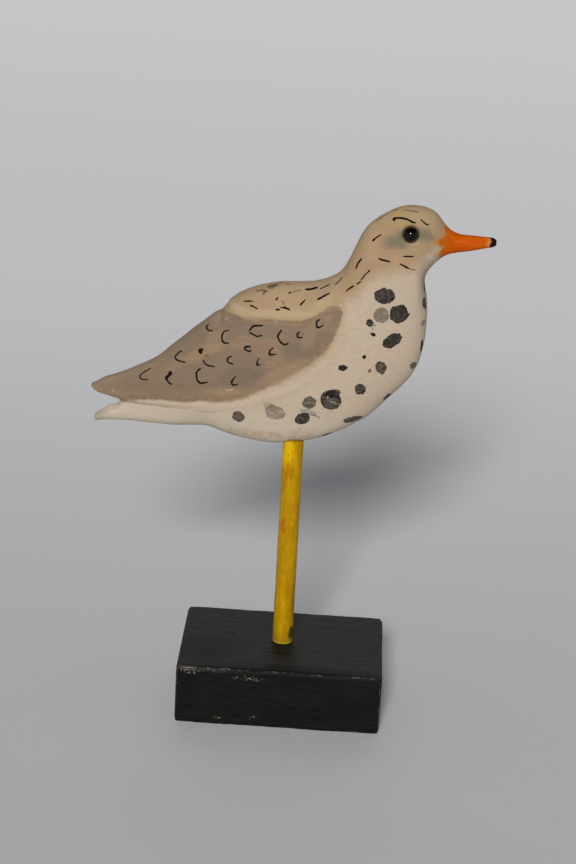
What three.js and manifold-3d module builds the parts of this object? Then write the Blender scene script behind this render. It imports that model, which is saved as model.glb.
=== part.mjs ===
// A folk shorebird decoy on its stand: a bird sawn and carved from one board, with two bead
// eyes, on a round dowel leg that stands in an offcut block.
//
// Millimetres, +Z up. The bird looks along +X and its right side faces -Y. The origin is the
// middle of the block's underside.

import * as THREE from 'three';
import { mergeVertices } from 'three/addons/utils/BufferGeometryUtils.js';
import Module from 'manifold-3d';

// Driving dimensions
const birdLength = 231; // bill tip to wing tips
const boardThickness = 38; // the board that the bird is sawn from
const wingRelief = 1.6; // how far the folded wings stand out of the flanks
const mantleRelief = 3; // height of the step where the back ends over the wings
const eyeDiameter = 9;
const eyeShows = 3.6; // how far a bead stands out of the cheek
const dowelDiameter = 12.7;
const dowelShows = 129; // from the block's top to the belly
const dowelInBlock = 22;
const dowelInBird = 24;
const blockLength = 123; // along the bird
const blockWidth = 89;
const blockHeight = 38;
const blockEdge = 1.5; // worn edges
const fitGap = 0.3; // round what sits in a drilled seat

// The carving is drawn in hundredths of the bird's length, from the point where the leg
// enters the belly.
const share = birdLength / 100;
const halfBoard = boardThickness / 2;

// Sections of the bird from the tail end to the bill tip. Each joins a point of the back line
// to one of the belly line, so they turn from upright at the tail to level across the neck.
// half is the section's half thickness as a share of half the board, and square is how boxy it
// is: 2 is an ellipse.
const eyeSection = { back: [23.9, 63.9], belly: [30.5, 45.5], half: 0.73, square: 2.2 };
const eyeHeight = 0.67; // how far up that section the eyes sit
const sections = [
  { back: [-54.0, 11.9], belly: [-54.0, 2.3], half: 0.20, square: 2.6 },
  { back: [-46.6, 14.8], belly: [-46.3, 3.1], half: 0.31, square: 2.6 },
  { back: [-40.5, 17.6], belly: [-40.3, 3.2], half: 0.41, square: 2.6 },
  { back: [-36.0, 20.1], belly: [-35.5, 3.0], half: 0.51, square: 2.6 },
  { back: [-31.6, 24.0], belly: [-30.7, 2.9], half: 0.62, square: 2.5 },
  { back: [-22.7, 31.6], belly: [-23.0, 3.4], half: 0.81, square: 2.4 },
  { back: [-18.9, 34.8], belly: [-18.8, 2.2], half: 0.86, square: 2.4 },
  { back: [-15.5, 37.7], belly: [-13.5, 0.6], half: 0.89, square: 2.4 },
  { back: [-11.0, 40.0], belly: [-8.5, -0.1], half: 0.91, square: 2.4 },
  { back: [-5.0, 41.9], belly: [-1.0, 0.0], half: 0.92, square: 2.4 },
  { back: [3.0, 43.0], belly: [7.0, 2.0], half: 0.93, square: 2.4 },
  { back: [9.0, 45.6], belly: [17.8, 7.8], half: 0.94, square: 2.3 },
  { back: [10.8, 48.4], belly: [23.8, 14.0], half: 0.93, square: 2.3 },
  { back: [12.3, 52.0], belly: [29.0, 19.7], half: 0.89, square: 2.3 },
  { back: [13.9, 56.0], belly: [31.2, 26.1], half: 0.84, square: 2.3 },
  { back: [16.1, 59.2], belly: [32.0, 33.6], half: 0.79, square: 2.2 },
  { back: [19.6, 61.9], belly: [31.6, 40.7], half: 0.76, square: 2.2 },
  eyeSection,
  { back: [28.5, 64.1], belly: [31.6, 48.2], half: 0.67, square: 2.2 },
  { back: [32.0, 62.8], belly: [33.5, 50.3], half: 0.55, square: 2.1 },
  { back: [34.2, 60.4], belly: [35.2, 51.6], half: 0.39, square: 2.0 },
  { back: [36.3, 58.3], belly: [36.9, 52.2], half: 0.27, square: 2.0 },
  { back: [39.0, 57.5], belly: [39.2, 52.6], half: 0.215, square: 2.0 },
  { back: [46.5, 57.2], belly: [46.5, 54.2], half: 0.155, square: 2.0 },
  { back: [47.7, 56.5], belly: [47.7, 54.8], half: 0.10, square: 2.0 },
];
const saddle = -18.9; // where along the back it ends in a step over the wings
const neckRoot = 9.0; // where along the back it starts to rise into the neck
const ringsPerSection = 2;
const pointsPerRing = 40;
const pointsPerSpan = 3; // along the curves of the cut outlines

// The folded wing's outline on the flank, drawn from the wing tips along its lower edge to the
// shoulder and back along its upper edge.
const wingLowerEdge = [
  [-57.0, 8.8], [-44.6, 9.2], [-36.4, 9.2], [-29.0, 9.5], [-22.5, 10.0], [-16.2, 11.3], [-10.0, 13.0],
  [-4.8, 15.1], [0.4, 18.0], [4.8, 21.6], [8.0, 26.0], [10.0, 30.5], [11.0, 34.6], [10.8, 38.0],
];
const wingUpperEdge = [
  [8.5, 38.8], [5.7, 36.7], [1.4, 34.9], [-3.6, 34.7], [-8.5, 34.9], [-12.3, 34.8], [-15.2, 35.0],
  [-17.4, 35.8], [-18.9, 38.5],
];
const aboveTheBack = 48;
const behindTheTail = -57;

// The saw cut between the wing tips and the tail, which also rounds both of their ends.
const notch = [
  [-41.5, 8.8], [-47.2, 10.3], [-49.9, 10.8], [-51.6, 11.6], [-52.3, 12.5], [-51.7, 13.6], [-51.0, 16.0],
];
const notchBelow = [
  [-49.6, 0.0], [-50.4, 2.4], [-50.9, 3.3], [-50.3, 4.3], [-48.9, 5.4], [-46.9, 6.5], [-43.6, 8.0],
];

const wasm = await Module();
wasm.setup();

function solidOf(geometry) {
  const bare = geometry.clone();
  bare.deleteAttribute('normal');
  bare.deleteAttribute('uv');
  const merged = mergeVertices(bare, 1e-4);
  return new wasm.Manifold(new wasm.Mesh({
    numProp: 3,
    vertProperties: new Float32Array(merged.attributes.position.array),
    triVerts: new Uint32Array(merged.index.array),
  }));
}

function geometryOf(solid) {
  const { vertProperties, triVerts } = solid.getMesh();
  const geometry = new THREE.BufferGeometry();
  geometry.setAttribute('position', new THREE.BufferAttribute(vertProperties, 3));
  geometry.setIndex(new THREE.BufferAttribute(triVerts, 1));
  return geometry;
}

// A point of a superellipse's unit outline: square 2 is a circle.
function superellipse(angle, square) {
  const bent = (v) => Math.sign(v) * Math.abs(v) ** (2 / square);
  return [bent(Math.cos(angle)), bent(Math.sin(angle))];
}

const lineThrough = (pick) => new THREE.CatmullRomCurve3(sections.map(pick), false, 'centripetal');
const backLine = lineThrough(({ back: [x, z] }) => new THREE.Vector3(x, 0, z).multiplyScalar(share));
const bellyLine = lineThrough(({ belly: [x, z] }) => new THREE.Vector3(x, 0, z).multiplyScalar(share));
const girthLine = lineThrough(({ half, square }) => new THREE.Vector3(half * halfBoard, square, 0));

// The bird's body as a skin over its sections. growth(x) says how many millimetres fuller it
// is than the sections themselves, at each place along the back.
function bodySkin(growth) {
  const rings = (sections.length - 1) * ringsPerSection;
  const positions = [];
  for (let ring = 0; ring <= rings; ring += 1) {
    const along = ring / rings;
    const back = backLine.getPoint(along);
    const belly = bellyLine.getPoint(along);
    const girth = girthLine.getPoint(along);
    const more = growth(back.x);
    const middle = back.clone().add(belly).divideScalar(2);
    const up = back.clone().sub(middle);
    up.setLength(up.length() + more);
    for (let point = 0; point < pointsPerRing; point += 1) {
      const [high, wide] = superellipse((point / pointsPerRing) * 2 * Math.PI, girth.y);
      const place = middle.clone().addScaledVector(up, high);
      positions.push(place.x, wide * (girth.x + more), place.z);
    }
  }
  const index = [];
  for (let ring = 0; ring < rings; ring += 1) {
    for (let point = 0; point < pointsPerRing; point += 1) {
      const next = (point + 1) % pointsPerRing;
      const [a, b] = [ring * pointsPerRing + point, ring * pointsPerRing + next];
      const [c, d] = [a + pointsPerRing, b + pointsPerRing];
      index.push(a, c, b, b, c, d);
    }
  }
  const last = rings * pointsPerRing;
  for (let point = 1; point < pointsPerRing - 1; point += 1) {
    index.push(0, point, point + 1);
    index.push(last, last + point + 1, last + point);
  }
  const geometry = new THREE.BufferGeometry();
  geometry.setAttribute('position', new THREE.Float32BufferAttribute(positions, 3));
  geometry.setIndex(index);
  return geometry;
}

const inShares = ([x, z]) => new THREE.Vector2(x * share, z * share);

// A side view outline run right through the board, like a saw cut.
function throughTheBoard(drawOutline) {
  const outline = new THREE.Shape();
  drawOutline(outline);
  const depth = boardThickness * 2;
  return new THREE.ExtrudeGeometry(outline, { depth, bevelEnabled: false, curveSegments: pointsPerSpan })
    .rotateX(Math.PI / 2)
    .translate(0, depth / 2, 0);
}

function wingOutline(outline) {
  const [first, ...lower] = wingLowerEdge.map(inShares);
  outline.moveTo(first.x, first.y);
  outline.splineThru(lower);
  outline.splineThru(wingUpperEdge.map(inShares));
  outline.lineTo(wingUpperEdge.at(-1)[0] * share, aboveTheBack * share);
  outline.lineTo(behindTheTail * share, aboveTheBack * share);
}

function mantleOutline(outline) {
  const overWing = 0.4; // reaches just over the wing's edge, so that no slit is left between them
  const edge = wingUpperEdge.map(([x, z]) => inShares([x, z - overWing]));
  outline.moveTo(edge[0].x, edge[0].y);
  outline.splineThru(edge.slice(1));
  outline.lineTo(edge.at(-1).x, aboveTheBack * share);
  outline.lineTo(edge[0].x, aboveTheBack * share);
}

function notchOutline(outline) {
  const [first, ...upper] = notch.map(inShares);
  outline.moveTo(first.x, first.y);
  outline.splineThru(upper);
  outline.lineTo(behindTheTail * share, upper.at(-1).y);
  outline.lineTo(behindTheTail * share, 0);
  outline.lineTo(notchBelow[0][0] * share, 0);
  outline.splineThru(notchBelow.slice(1).map(inShares));
}

// Smooth rise from 0 to 1 as value goes from one place to the other.
const rise = (value, from, to) => {
  const t = THREE.MathUtils.clamp((value - from) / (to - from), 0, 1);
  return t * t * (3 - 2 * t);
};

const bellyHeight = blockHeight + dowelShows;

// The carved bird, with its drilled seats still to come. Its own origin is where the leg
// enters the belly.
function carvedBird() {
  const body = solidOf(bodySkin(() => 0));
  const wings = solidOf(bodySkin(() => wingRelief)).intersect(solidOf(throughTheBoard(wingOutline)));
  const mantleGrowth = (x) => mantleRelief * rise(x, neckRoot * share, saddle * share);
  const mantle = solidOf(bodySkin(mantleGrowth)).intersect(solidOf(throughTheBoard(mantleOutline)));
  return body.add(wings).add(mantle).subtract(solidOf(throughTheBoard(notchOutline)));
}

// How far the bird's surface stands out to one side at a point of its side view.
function flankAt(solid, x, z) {
  const mesh = new THREE.Mesh(geometryOf(solid));
  const from = new THREE.Vector3(x, -boardThickness, z);
  const [hit] = new THREE.Raycaster(from, new THREE.Vector3(0, 1, 0)).intersectObject(mesh);
  return Math.abs(hit.point.y);
}

const dowelRadius = dowelDiameter / 2;
const aroundSegments = 40;
const beadSegments = 20;
const beadRings = 12;

// The drill hole for one end of the leg, centred on its mouth, so that it also clears the wood
// round the mouth.
function drilledSeat(depth) {
  const radius = dowelRadius + fitGap;
  const length = 2 * (depth + fitGap);
  return new THREE.CylinderGeometry(radius, radius, length, aroundSegments).rotateX(Math.PI / 2);
}

function beadGeometry(radius) {
  return new THREE.SphereGeometry(radius, beadSegments, beadRings);
}

const carved = carvedBird();
const [eyeX, eyeZ] = eyeSection.belly.map((v, axis) => (
  THREE.MathUtils.lerp(v, eyeSection.back[axis], eyeHeight) * share
));
const eyeOut = flankAt(carved, eyeX, eyeZ) + eyeShows - eyeDiameter / 2;
const eyeSides = { eye_right: -1, eye_left: 1 };

function birdGeometry() {
  let bird = carved.subtract(solidOf(drilledSeat(dowelInBird)));
  for (const side of Object.values(eyeSides)) {
    const seat = beadGeometry(eyeDiameter / 2 + fitGap).translate(eyeX, side * eyeOut, eyeZ);
    bird = bird.subtract(solidOf(seat));
  }
  return geometryOf(bird);
}

function blockGeometry() {
  const [halfLength, halfWidth] = [blockLength / 2 - blockEdge, blockWidth / 2 - blockEdge];
  const plan = new THREE.Shape()
    .moveTo(-halfLength, -halfWidth)
    .lineTo(halfLength, -halfWidth)
    .lineTo(halfLength, halfWidth)
    .lineTo(-halfLength, halfWidth);
  const block = new THREE.ExtrudeGeometry(plan, {
    depth: blockHeight - 2 * blockEdge,
    bevelSize: blockEdge,
    bevelThickness: blockEdge,
    bevelSegments: 3,
  }).translate(0, 0, blockEdge);
  const seat = drilledSeat(dowelInBlock).translate(0, 0, blockHeight);
  return geometryOf(solidOf(block).subtract(solidOf(seat)));
}

function dowelGeometry() {
  const length = dowelInBlock + dowelShows + dowelInBird;
  return new THREE.CylinderGeometry(dowelRadius, dowelRadius, length, aroundSegments)
    .rotateX(Math.PI / 2)
    .translate(0, 0, length / 2);
}

const paint = (color, roughness) => new THREE.MeshStandardMaterial({ color, roughness, metalness: 0 });
const creamPaint = paint(0xd9c6aa, 0.7);
const yellowPaint = paint(0xd9a812, 0.5);
const blackPaint = paint(0x2a2a2c, 0.55);
const blackGlass = paint(0x060606, 0.08);

const decoy = new THREE.Group();

function addPiece(name, geometry, material, x, y, z) {
  const piece = new THREE.Mesh(geometry, material);
  piece.name = name;
  piece.position.set(x, y, z);
  decoy.add(piece);
}

addPiece('base_block', blockGeometry(), blackPaint, 0, 0, 0);
addPiece('dowel_leg', dowelGeometry(), yellowPaint, 0, 0, blockHeight - dowelInBlock);
addPiece('bird', birdGeometry(), creamPaint, 0, 0, bellyHeight);
for (const [name, side] of Object.entries(eyeSides)) {
  addPiece(name, beadGeometry(eyeDiameter / 2), blackGlass, eyeX, side * eyeOut, bellyHeight + eyeZ);
}

export default decoy;
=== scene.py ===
# %% [markdown]
# # A painted shorebird decoy on its stand
#
# A folk carver sawed this bird from one board, rounded it with a knife, set two glass beads in
# its head and stood it on a dowel in an offcut block. The construction is already there as a
# fixed frame of plain solids. This lesson dresses that frame: each solid is modelled again with
# the softness and unevenness of hand work, and then painted by shaders.

# %% The frame
import math

import bpy
import numpy as np
from mathutils import Matrix, Vector
from mathutils.bvhtree import BVHTree


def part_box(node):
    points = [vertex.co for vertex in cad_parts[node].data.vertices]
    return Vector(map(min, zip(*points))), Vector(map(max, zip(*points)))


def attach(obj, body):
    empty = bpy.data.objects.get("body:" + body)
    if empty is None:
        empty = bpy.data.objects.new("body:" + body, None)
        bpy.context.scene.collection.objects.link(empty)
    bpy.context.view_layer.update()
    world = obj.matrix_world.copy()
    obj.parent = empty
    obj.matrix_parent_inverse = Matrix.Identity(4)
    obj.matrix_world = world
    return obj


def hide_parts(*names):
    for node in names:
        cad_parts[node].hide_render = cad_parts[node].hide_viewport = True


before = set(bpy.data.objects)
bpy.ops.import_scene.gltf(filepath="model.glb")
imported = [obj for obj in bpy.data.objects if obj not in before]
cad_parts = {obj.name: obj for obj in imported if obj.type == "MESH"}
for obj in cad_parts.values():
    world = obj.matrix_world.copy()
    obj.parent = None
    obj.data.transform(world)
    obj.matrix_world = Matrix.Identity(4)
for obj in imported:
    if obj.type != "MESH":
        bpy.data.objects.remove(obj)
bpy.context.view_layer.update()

MM = 0.001


# %% [markdown]
# ## The camera
#
# The block's corners, the straight leg and the known board sizes fix where the photograph was
# taken from: 1.3 m away, about 20 degrees above the object and tipped 3 degrees to one side.
# The lens is long, so the perspective is mild. Everything that is placed later, such as the brush
# marks, is aimed from this same camera.

# %% A camera in the photographer's place
PHOTO_WIDTH, PHOTO_HEIGHT = 576, 864
SENSOR = 36.0
LENS = 92.4
LOOK_AT = Vector((-3.49, 0.0, 173.14)) * MM
DISTANCE = 1311.5 * MM
LOOKING_DOWN = math.radians(19.475)
FROM_THE_RIGHT = math.radians(1.489)
TIPPED = math.radians(3.116)

behind = Vector((
    math.sin(FROM_THE_RIGHT) * math.cos(LOOKING_DOWN),
    -math.cos(FROM_THE_RIGHT) * math.cos(LOOKING_DOWN),
    math.sin(LOOKING_DOWN),
))
turn = behind.to_track_quat("Z", "Y").to_matrix() @ Matrix.Rotation(TIPPED, 3, "Z")
bpy.ops.object.camera_add(location=LOOK_AT + behind * DISTANCE, rotation=turn.to_euler())
camera = bpy.context.object
camera.name = "photographer"
camera.data.lens = LENS
camera.data.sensor_width = SENSOR
bpy.context.scene.camera = camera
print("camera at", [round(v / MM, 1) for v in camera.location], "mm")


# %% [markdown]
# ## Floor and light
#
# The photograph has a pale sweep of paper that darkens towards the viewer, one large soft lamp
# above the photographer, and light that comes back from the room. A flat floor whose tone drifts
# gives the sweep. A sun lamp with a wide angle gives the soft shadow that falls far behind the
# bird, because its light stays parallel over the whole floor. A very wide and weak one from the
# back is what the pale sweep throws forward. The world is the rest of the room: it is bright
# low down, where pale walls stand round the object, and dark above, so that the sides are lit
# softly while the shadow on the floor stays deep.

# %% One soft lamp and a pale room
LAMP_HEIGHT = math.radians(28.5)
LAMP_FROM_THE_LEFT = math.radians(4.7)
LAMP_WIDTH = math.radians(12.5)
LAMP_STRENGTH = 2.8
LAMP_COLOUR = (1.0, 0.985, 0.96)
BOUNCE_HEIGHT = math.radians(32)
BOUNCE_WIDTH = math.radians(60)
BOUNCE_STRENGTH = 0.5
BOUNCE_COLOUR = (0.95, 0.98, 1.0)
WALL_STRENGTH = 0.58
CEILING_STRENGTH = 0.02
WALLS_UP_TO = 0.15
CEILING_FROM = 0.55
ROOM_COLOUR = (0.97, 0.985, 1.0, 1.0)


def add_lamp(name, height, side, width, strength, colour):
    """A sun lamp at a height and a side angle, seen from the photographer's side."""
    towards = Vector((
        math.sin(side) * math.cos(height),
        -math.cos(side) * math.cos(height),
        math.sin(height),
    ))
    bpy.ops.object.light_add(type="SUN", rotation=towards.to_track_quat("Z", "Y").to_euler())
    lamp = bpy.context.object
    lamp.name = name
    lamp.data.angle = width
    lamp.data.energy = strength
    lamp.data.color = colour


add_lamp("soft_lamp", LAMP_HEIGHT, -LAMP_FROM_THE_LEFT, LAMP_WIDTH, LAMP_STRENGTH, LAMP_COLOUR)
add_lamp("bounce", BOUNCE_HEIGHT, math.pi, BOUNCE_WIDTH, BOUNCE_STRENGTH, BOUNCE_COLOUR)
print("lamp strength", LAMP_STRENGTH, "and bounce", BOUNCE_STRENGTH)

# %% Walls and ceiling
room = bpy.data.worlds.new("pale_room")
room.use_nodes = True
room_nodes, room_links = room.node_tree.nodes, room.node_tree.links
light_from = room_nodes.new("ShaderNodeTexCoord")
upwards = room_nodes.new("ShaderNodeSeparateXYZ")
fade = room_nodes.new("ShaderNodeMapRange")
fade.inputs["From Min"].default_value = WALLS_UP_TO
fade.inputs["From Max"].default_value = CEILING_FROM
fade.inputs["To Min"].default_value = WALL_STRENGTH
fade.inputs["To Max"].default_value = CEILING_STRENGTH
background = room_nodes["Background"]
background.inputs["Color"].default_value = ROOM_COLOUR
room_links.new(light_from.outputs["Generated"], upwards.inputs[0])
room_links.new(upwards.outputs["Z"], fade.inputs["Value"])
room_links.new(fade.outputs["Result"], background.inputs["Strength"])
bpy.context.scene.world = room
bpy.context.scene.view_settings.view_transform = "Standard"

FLOOR_SIZE = 12.0
bpy.ops.mesh.primitive_plane_add(size=FLOOR_SIZE)
floor = bpy.context.object
floor.name = "paper_floor"
print("walls", WALL_STRENGTH, "and ceiling", CEILING_STRENGTH, "over", FLOOR_SIZE, "m of paper")


# %% [markdown]
# ## Tools for modelling
#
# Blender's operators act on whatever is selected, so the first helper deselects everything and
# picks one object. The others apply a modifier at once, as one would by hand, or read all
# points of a mesh into one array, in which a whole surface can be measured in one step. A weight
# for each point, worked out from such an array, says how far a modifier may act there.

# %% Helpers for modelling
def take(piece):
    """Selects only this piece and makes it active."""
    if bpy.context.object and bpy.context.object.mode != "OBJECT":
        bpy.ops.object.mode_set(mode="OBJECT")
    bpy.ops.object.select_all(action="DESELECT")
    piece.select_set(True)
    bpy.context.view_layer.objects.active = piece


def shape_with(piece, kind, **settings):
    """Adds a modifier with these settings and applies it."""
    take(piece)
    modifier = piece.modifiers.new(kind.lower(), kind)
    for name, value in settings.items():
        setattr(modifier, name, value)
    bpy.ops.object.modifier_apply(modifier=modifier.name)


def points_of(piece):
    """The piece's points as rows of x, y and z in millimetres."""
    rows = np.empty(len(piece.data.vertices) * 3, dtype=np.float32)
    piece.data.vertices.foreach_get("co", rows)
    return rows.reshape(-1, 3).astype(float) / MM


def normals_of(piece):
    """The directions in which the piece's points face."""
    rows = np.empty(len(piece.data.vertices) * 3, dtype=np.float32)
    piece.data.vertices.foreach_get("normal", rows)
    return rows.reshape(-1, 3)


WEIGHT_STEPS = 50


def weigh(piece, name, weights):
    """Stores one weight from 0 to 1 for each point, as a vertex group."""
    group = piece.vertex_groups.new(name=name)
    steps = np.round(np.clip(weights, 0, 1) * WEIGHT_STEPS).astype(int)
    for step in np.unique(steps[steps > 0]):
        group.add(np.flatnonzero(steps == step).tolist(), float(step) / WEIGHT_STEPS, "REPLACE")
    return name


def sand(piece, name, rounds, weights):
    """Smooths a piece's skin as sandpaper does, where the weights say so."""
    shape_with(piece, "SMOOTH", factor=0.5, iterations=rounds,
               vertex_group=weigh(piece, name, weights))


def push(piece, name, depth, weights, way="NORMAL"):
    """Moves a piece's skin outwards by up to this many millimetres, or along an axis."""
    shape_with(piece, "DISPLACE", strength=depth * MM, mid_level=0.0, direction=way,
               vertex_group=weigh(piece, name, weights))


def dent(piece, name, size, depth, group=""):
    """Pushes lumps of this size, in millimetres, inwards by up to the given depth."""
    shape_with(piece, "DISPLACE", texture=cloudy(name, size), strength=depth * MM, mid_level=1.0,
               vertex_group=group, texture_coords="LOCAL")


def cloudy(name, size):
    """A soft cloud texture whose lumps are about this many millimetres across."""
    texture = bpy.data.textures.new(name, "CLOUDS")
    texture.noise_scale = size * MM
    texture.noise_depth = 1
    return texture


def triangles_of(piece):
    """How many triangles the piece's faces make."""
    return sum(len(face.vertices) - 2 for face in piece.data.polygons)


def rise(value, low, high):
    """0 at low, 1 at high and smooth between them. low may be the larger."""
    t = np.clip((np.asarray(value, dtype=float) - low) / (high - low), 0, 1)
    return t * t * (3 - 2 * t)


# %% [markdown]
# ## The block
#
# The base is an offcut of building lumber, painted black. Its edges were never sharp, and they
# have been knocked since. A cube is scaled to the offcut, its edges are bevelled, more at the
# upright ones, and a hole is drilled for the leg. Then it is remeshed finely, so that dents along
# the edges and the slight waviness of sawn wood can be pushed in. Everything is pushed inwards,
# so the block never grows past its stock size.

# %% Block: saw, bevel and drill
WORN_EDGE = 1.0
WORN_CORNER = 1.2
block_low, block_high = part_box("base_block")
block_top = block_high.z / MM
leg_low, leg_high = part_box("dowel_leg")
leg_radius = (leg_high.x - leg_low.x) / 2 / MM
HOLE_TIGHTER = 0.4

bpy.ops.mesh.primitive_cube_add(size=1, location=(block_low + block_high) / 2)
block = bpy.context.object
block.name = "black_block"
block.scale = block_high - block_low
bpy.ops.object.transform_apply(location=True, rotation=True, scale=True)

bpy.ops.object.mode_set(mode="EDIT")
bpy.ops.mesh.select_mode(type="EDGE")
bpy.ops.mesh.select_all(action="DESELECT")
bpy.ops.object.mode_set(mode="OBJECT")
for edge in block.data.edges:
    ends = [block.data.vertices[i].co for i in edge.vertices]
    edge.select = abs(ends[0].z - ends[1].z) > MM
bpy.ops.object.mode_set(mode="EDIT")
bpy.ops.mesh.bevel(offset=WORN_CORNER * MM, segments=4)
bpy.ops.object.mode_set(mode="OBJECT")
shape_with(block, "BEVEL", width=WORN_EDGE * MM, segments=3, limit_method="ANGLE")

bpy.ops.mesh.primitive_cylinder_add(
    vertices=64,
    radius=(leg_radius - HOLE_TIGHTER) * MM,
    depth=2 * (block_high.z - leg_low.z + MM),
    location=(0, 0, block_high.z),
)
drill = bpy.context.object
shape_with(block, "BOOLEAN", operation="DIFFERENCE", object=drill, solver="EXACT")
bpy.data.objects.remove(drill)
print("block faces after drilling:", len(block.data.polygons))

# %% Block: dents, chips and sawn waviness
BLOCK_GRAIN = 1.0
CORNER_SANDING = 12
half_length, half_width = block_high.x / MM, block_high.y / MM


def to_sides_of(points):
    """How far points of the block lie from its ends, its sides and its top or underside."""
    return np.stack([
        half_length - np.abs(points[:, 0]),
        half_width - np.abs(points[:, 1]),
        np.minimum(points[:, 2], block_top - points[:, 2]),
    ])


def to_edge_of(points):
    """How far points of the block lie from its nearest edge, where two faces are near."""
    return np.sort(to_sides_of(points), axis=0)[1]


shape_with(block, "REMESH", mode="VOXEL", voxel_size=BLOCK_GRAIN * MM)
at = points_of(block)
edges = weigh(block, "edges", rise(to_edge_of(at), 3.0, 0.4))
to_ends, to_flanks, _ = to_sides_of(at)
to_top_corner = np.hypot(np.hypot(to_ends, to_flanks), block_top - at[:, 2])
sand(block, "rounded", CORNER_SANDING, rise(to_top_corner, 8, 1.5))
dent(block, "sawn", 38, 0.3)
dent(block, "knocks", 10, 0.8, edges)
dent(block, "nicks", 2.6, 0.4, edges)
shape_with(block, "SMOOTH", factor=0.5, iterations=1)
at = points_of(block)
print("block:", triangles_of(block), "triangles,", at.min(0).round(2), at.max(0).round(2))

# %% [markdown]
# ## The leg
#
# The leg is a straight half-inch dowel. A circle is extruded upwards in short steps so that there
# are rings along it, then it gets the faint waviness of a hand-painted stick. Its hidden ends
# run into the drilled seats of the block and the belly.

# %% Leg: extrude a dowel
LEG_RINGS = 90
LEG_SIDES = 48
leg_length = leg_high.z - leg_low.z
bpy.ops.mesh.primitive_circle_add(
    vertices=LEG_SIDES, radius=leg_radius * MM, fill_type="NGON", location=(0, 0, leg_low.z))
leg = bpy.context.object
leg.name = "yellow_leg"
bpy.ops.object.transform_apply(location=True, rotation=True, scale=True)
bpy.ops.object.mode_set(mode="EDIT")
bpy.ops.mesh.select_all(action="SELECT")
for ring in range(LEG_RINGS):
    bpy.ops.mesh.extrude_region_move(
        TRANSFORM_OT_translate={"value": (0, 0, leg_length / LEG_RINGS)})
bpy.ops.mesh.select_all(action="SELECT")
bpy.ops.mesh.normals_make_consistent(inside=False)
bpy.ops.object.mode_set(mode="OBJECT")
dent(leg, "turned", 30, 0.35)
dent(leg, "brushed", 5, 0.12)
take(leg)
bpy.ops.object.shade_smooth_by_angle(angle=math.radians(40))
print("leg:", triangles_of(leg), "triangles")

# %% [markdown]
# ## The bird's surface
#
# The carving is a free form, and its proportions are settled in the frame's own solid, so that
# solid is the block that is carved further here. A copy is merged into one skin. The saw cut
# between wing tips and tail runs a little too deep in it, so a sliver of wood, which is a small
# cube, is joined on to close the cut's end. A remesh then makes one skin of small even faces
# from both. Smoothing rounds the planes off, as sandpaper does. The thin bill, wing tips and
# tail would shrink if they were sanded as much as the body, so the weights spare them, and the
# sharp end of the back over the wings too.

# %% Bird: a fine even skin
SKIN_GRAIN = 0.8
SAME_POINT = 0.01
BODY_SANDING = 40
LEAST_SANDED = 0.06
CUT_ENDS_AT = (-98.6, 0.0, 186.6)
SLIVER = (10.0, 11.6, 6.0)
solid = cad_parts["bird"]
bird = bpy.data.objects.new("painted_bird", solid.data.copy())
bpy.context.scene.collection.objects.link(bird)
take(bird)
bpy.ops.object.mode_set(mode="EDIT")
bpy.ops.mesh.select_all(action="SELECT")
bpy.ops.mesh.remove_doubles(threshold=SAME_POINT * MM)
bpy.ops.object.mode_set(mode="OBJECT")

bpy.ops.mesh.primitive_cube_add(size=1, location=[v * MM for v in CUT_ENDS_AT])
sliver = bpy.context.object
sliver.scale = [v * MM for v in SLIVER]
take(bird)
sliver.select_set(True)
bpy.ops.object.join()
shape_with(bird, "REMESH", mode="VOXEL", voxel_size=SKIN_GRAIN * MM)

bird_low, bird_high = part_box("bird")
bird_length = (bird_high.x - bird_low.x) / MM
bird_bottom = bird_low.z / MM


def bell(value, middle, width):
    """1 in the middle and fading to 0 on both sides."""
    return np.exp(-((value - middle) / width) ** 2)


at = points_of(bird)
along = at[:, 0] / bird_length * 100
thick = rise(along, -47, -34) * rise(along, 36, 31)
at_saddle = bell(along, -18.0, 3.5) * rise(np.abs(at[:, 1]), 8, 4)
at_saddle *= rise(at[:, 2], bird_bottom + 66, bird_bottom + 74)
sand(bird, "sanded", BODY_SANDING, LEAST_SANDED + (1 - LEAST_SANDED) * thick * (1 - at_saddle))
print("bird:", triangles_of(bird), "triangles, length", round(bird_length, 1), "mm")

# %% [markdown]
# ## The wing's carved edges
#
# On the real bird the wings stand a little out of the flanks. The carver ran the knife along
# their lower edge, which left a thin groove, and hollowed the wood above their upper edge, so
# that the back swells over them. Both lines are drawn here in the side view, in hundredths of
# the bird's length from the point where the leg enters the belly. How far each point of the skin
# lies from a line then says how deep the knife went there.

# %% Bird: the wing's two edges
BELLY = 167.0
NO_RUN = 1e-6
WING_LOWER_EDGE = [
    (-57.0, 8.8), (-44.6, 9.2), (-36.4, 9.2), (-29.0, 9.5), (-22.5, 10.0), (-16.2, 11.3),
    (-10.0, 13.0), (-4.8, 15.1), (0.4, 18.0), (4.8, 21.6), (8.0, 26.0), (10.0, 30.5),
    (11.0, 34.6), (10.8, 38.0),
]
WING_UPPER_EDGE = [
    (8.5, 38.8), (5.7, 36.7), (1.4, 34.9), (-3.6, 34.7), (-8.5, 34.9), (-12.3, 34.8),
    (-15.2, 35.0), (-17.4, 35.8), (-18.9, 38.5),
]


def smooth_line(corners, steps=6):
    """A smooth curve through these corners, as a list of points."""
    ends = [corners[0], *corners, corners[-1]]
    line = []
    for a, b, c, d in zip(ends, ends[1:], ends[2:], ends[3:]):
        for step in range(steps):
            t = step / steps
            line.append(tuple(
                0.5 * (2 * q + (r - p) * t + (2 * p - 5 * q + 4 * r - s) * t * t
                       + (3 * q - p - 3 * r + s) * t ** 3)
                for p, q, r, s in zip(a, b, c, d)))
    return [*line, corners[-1]]


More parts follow.
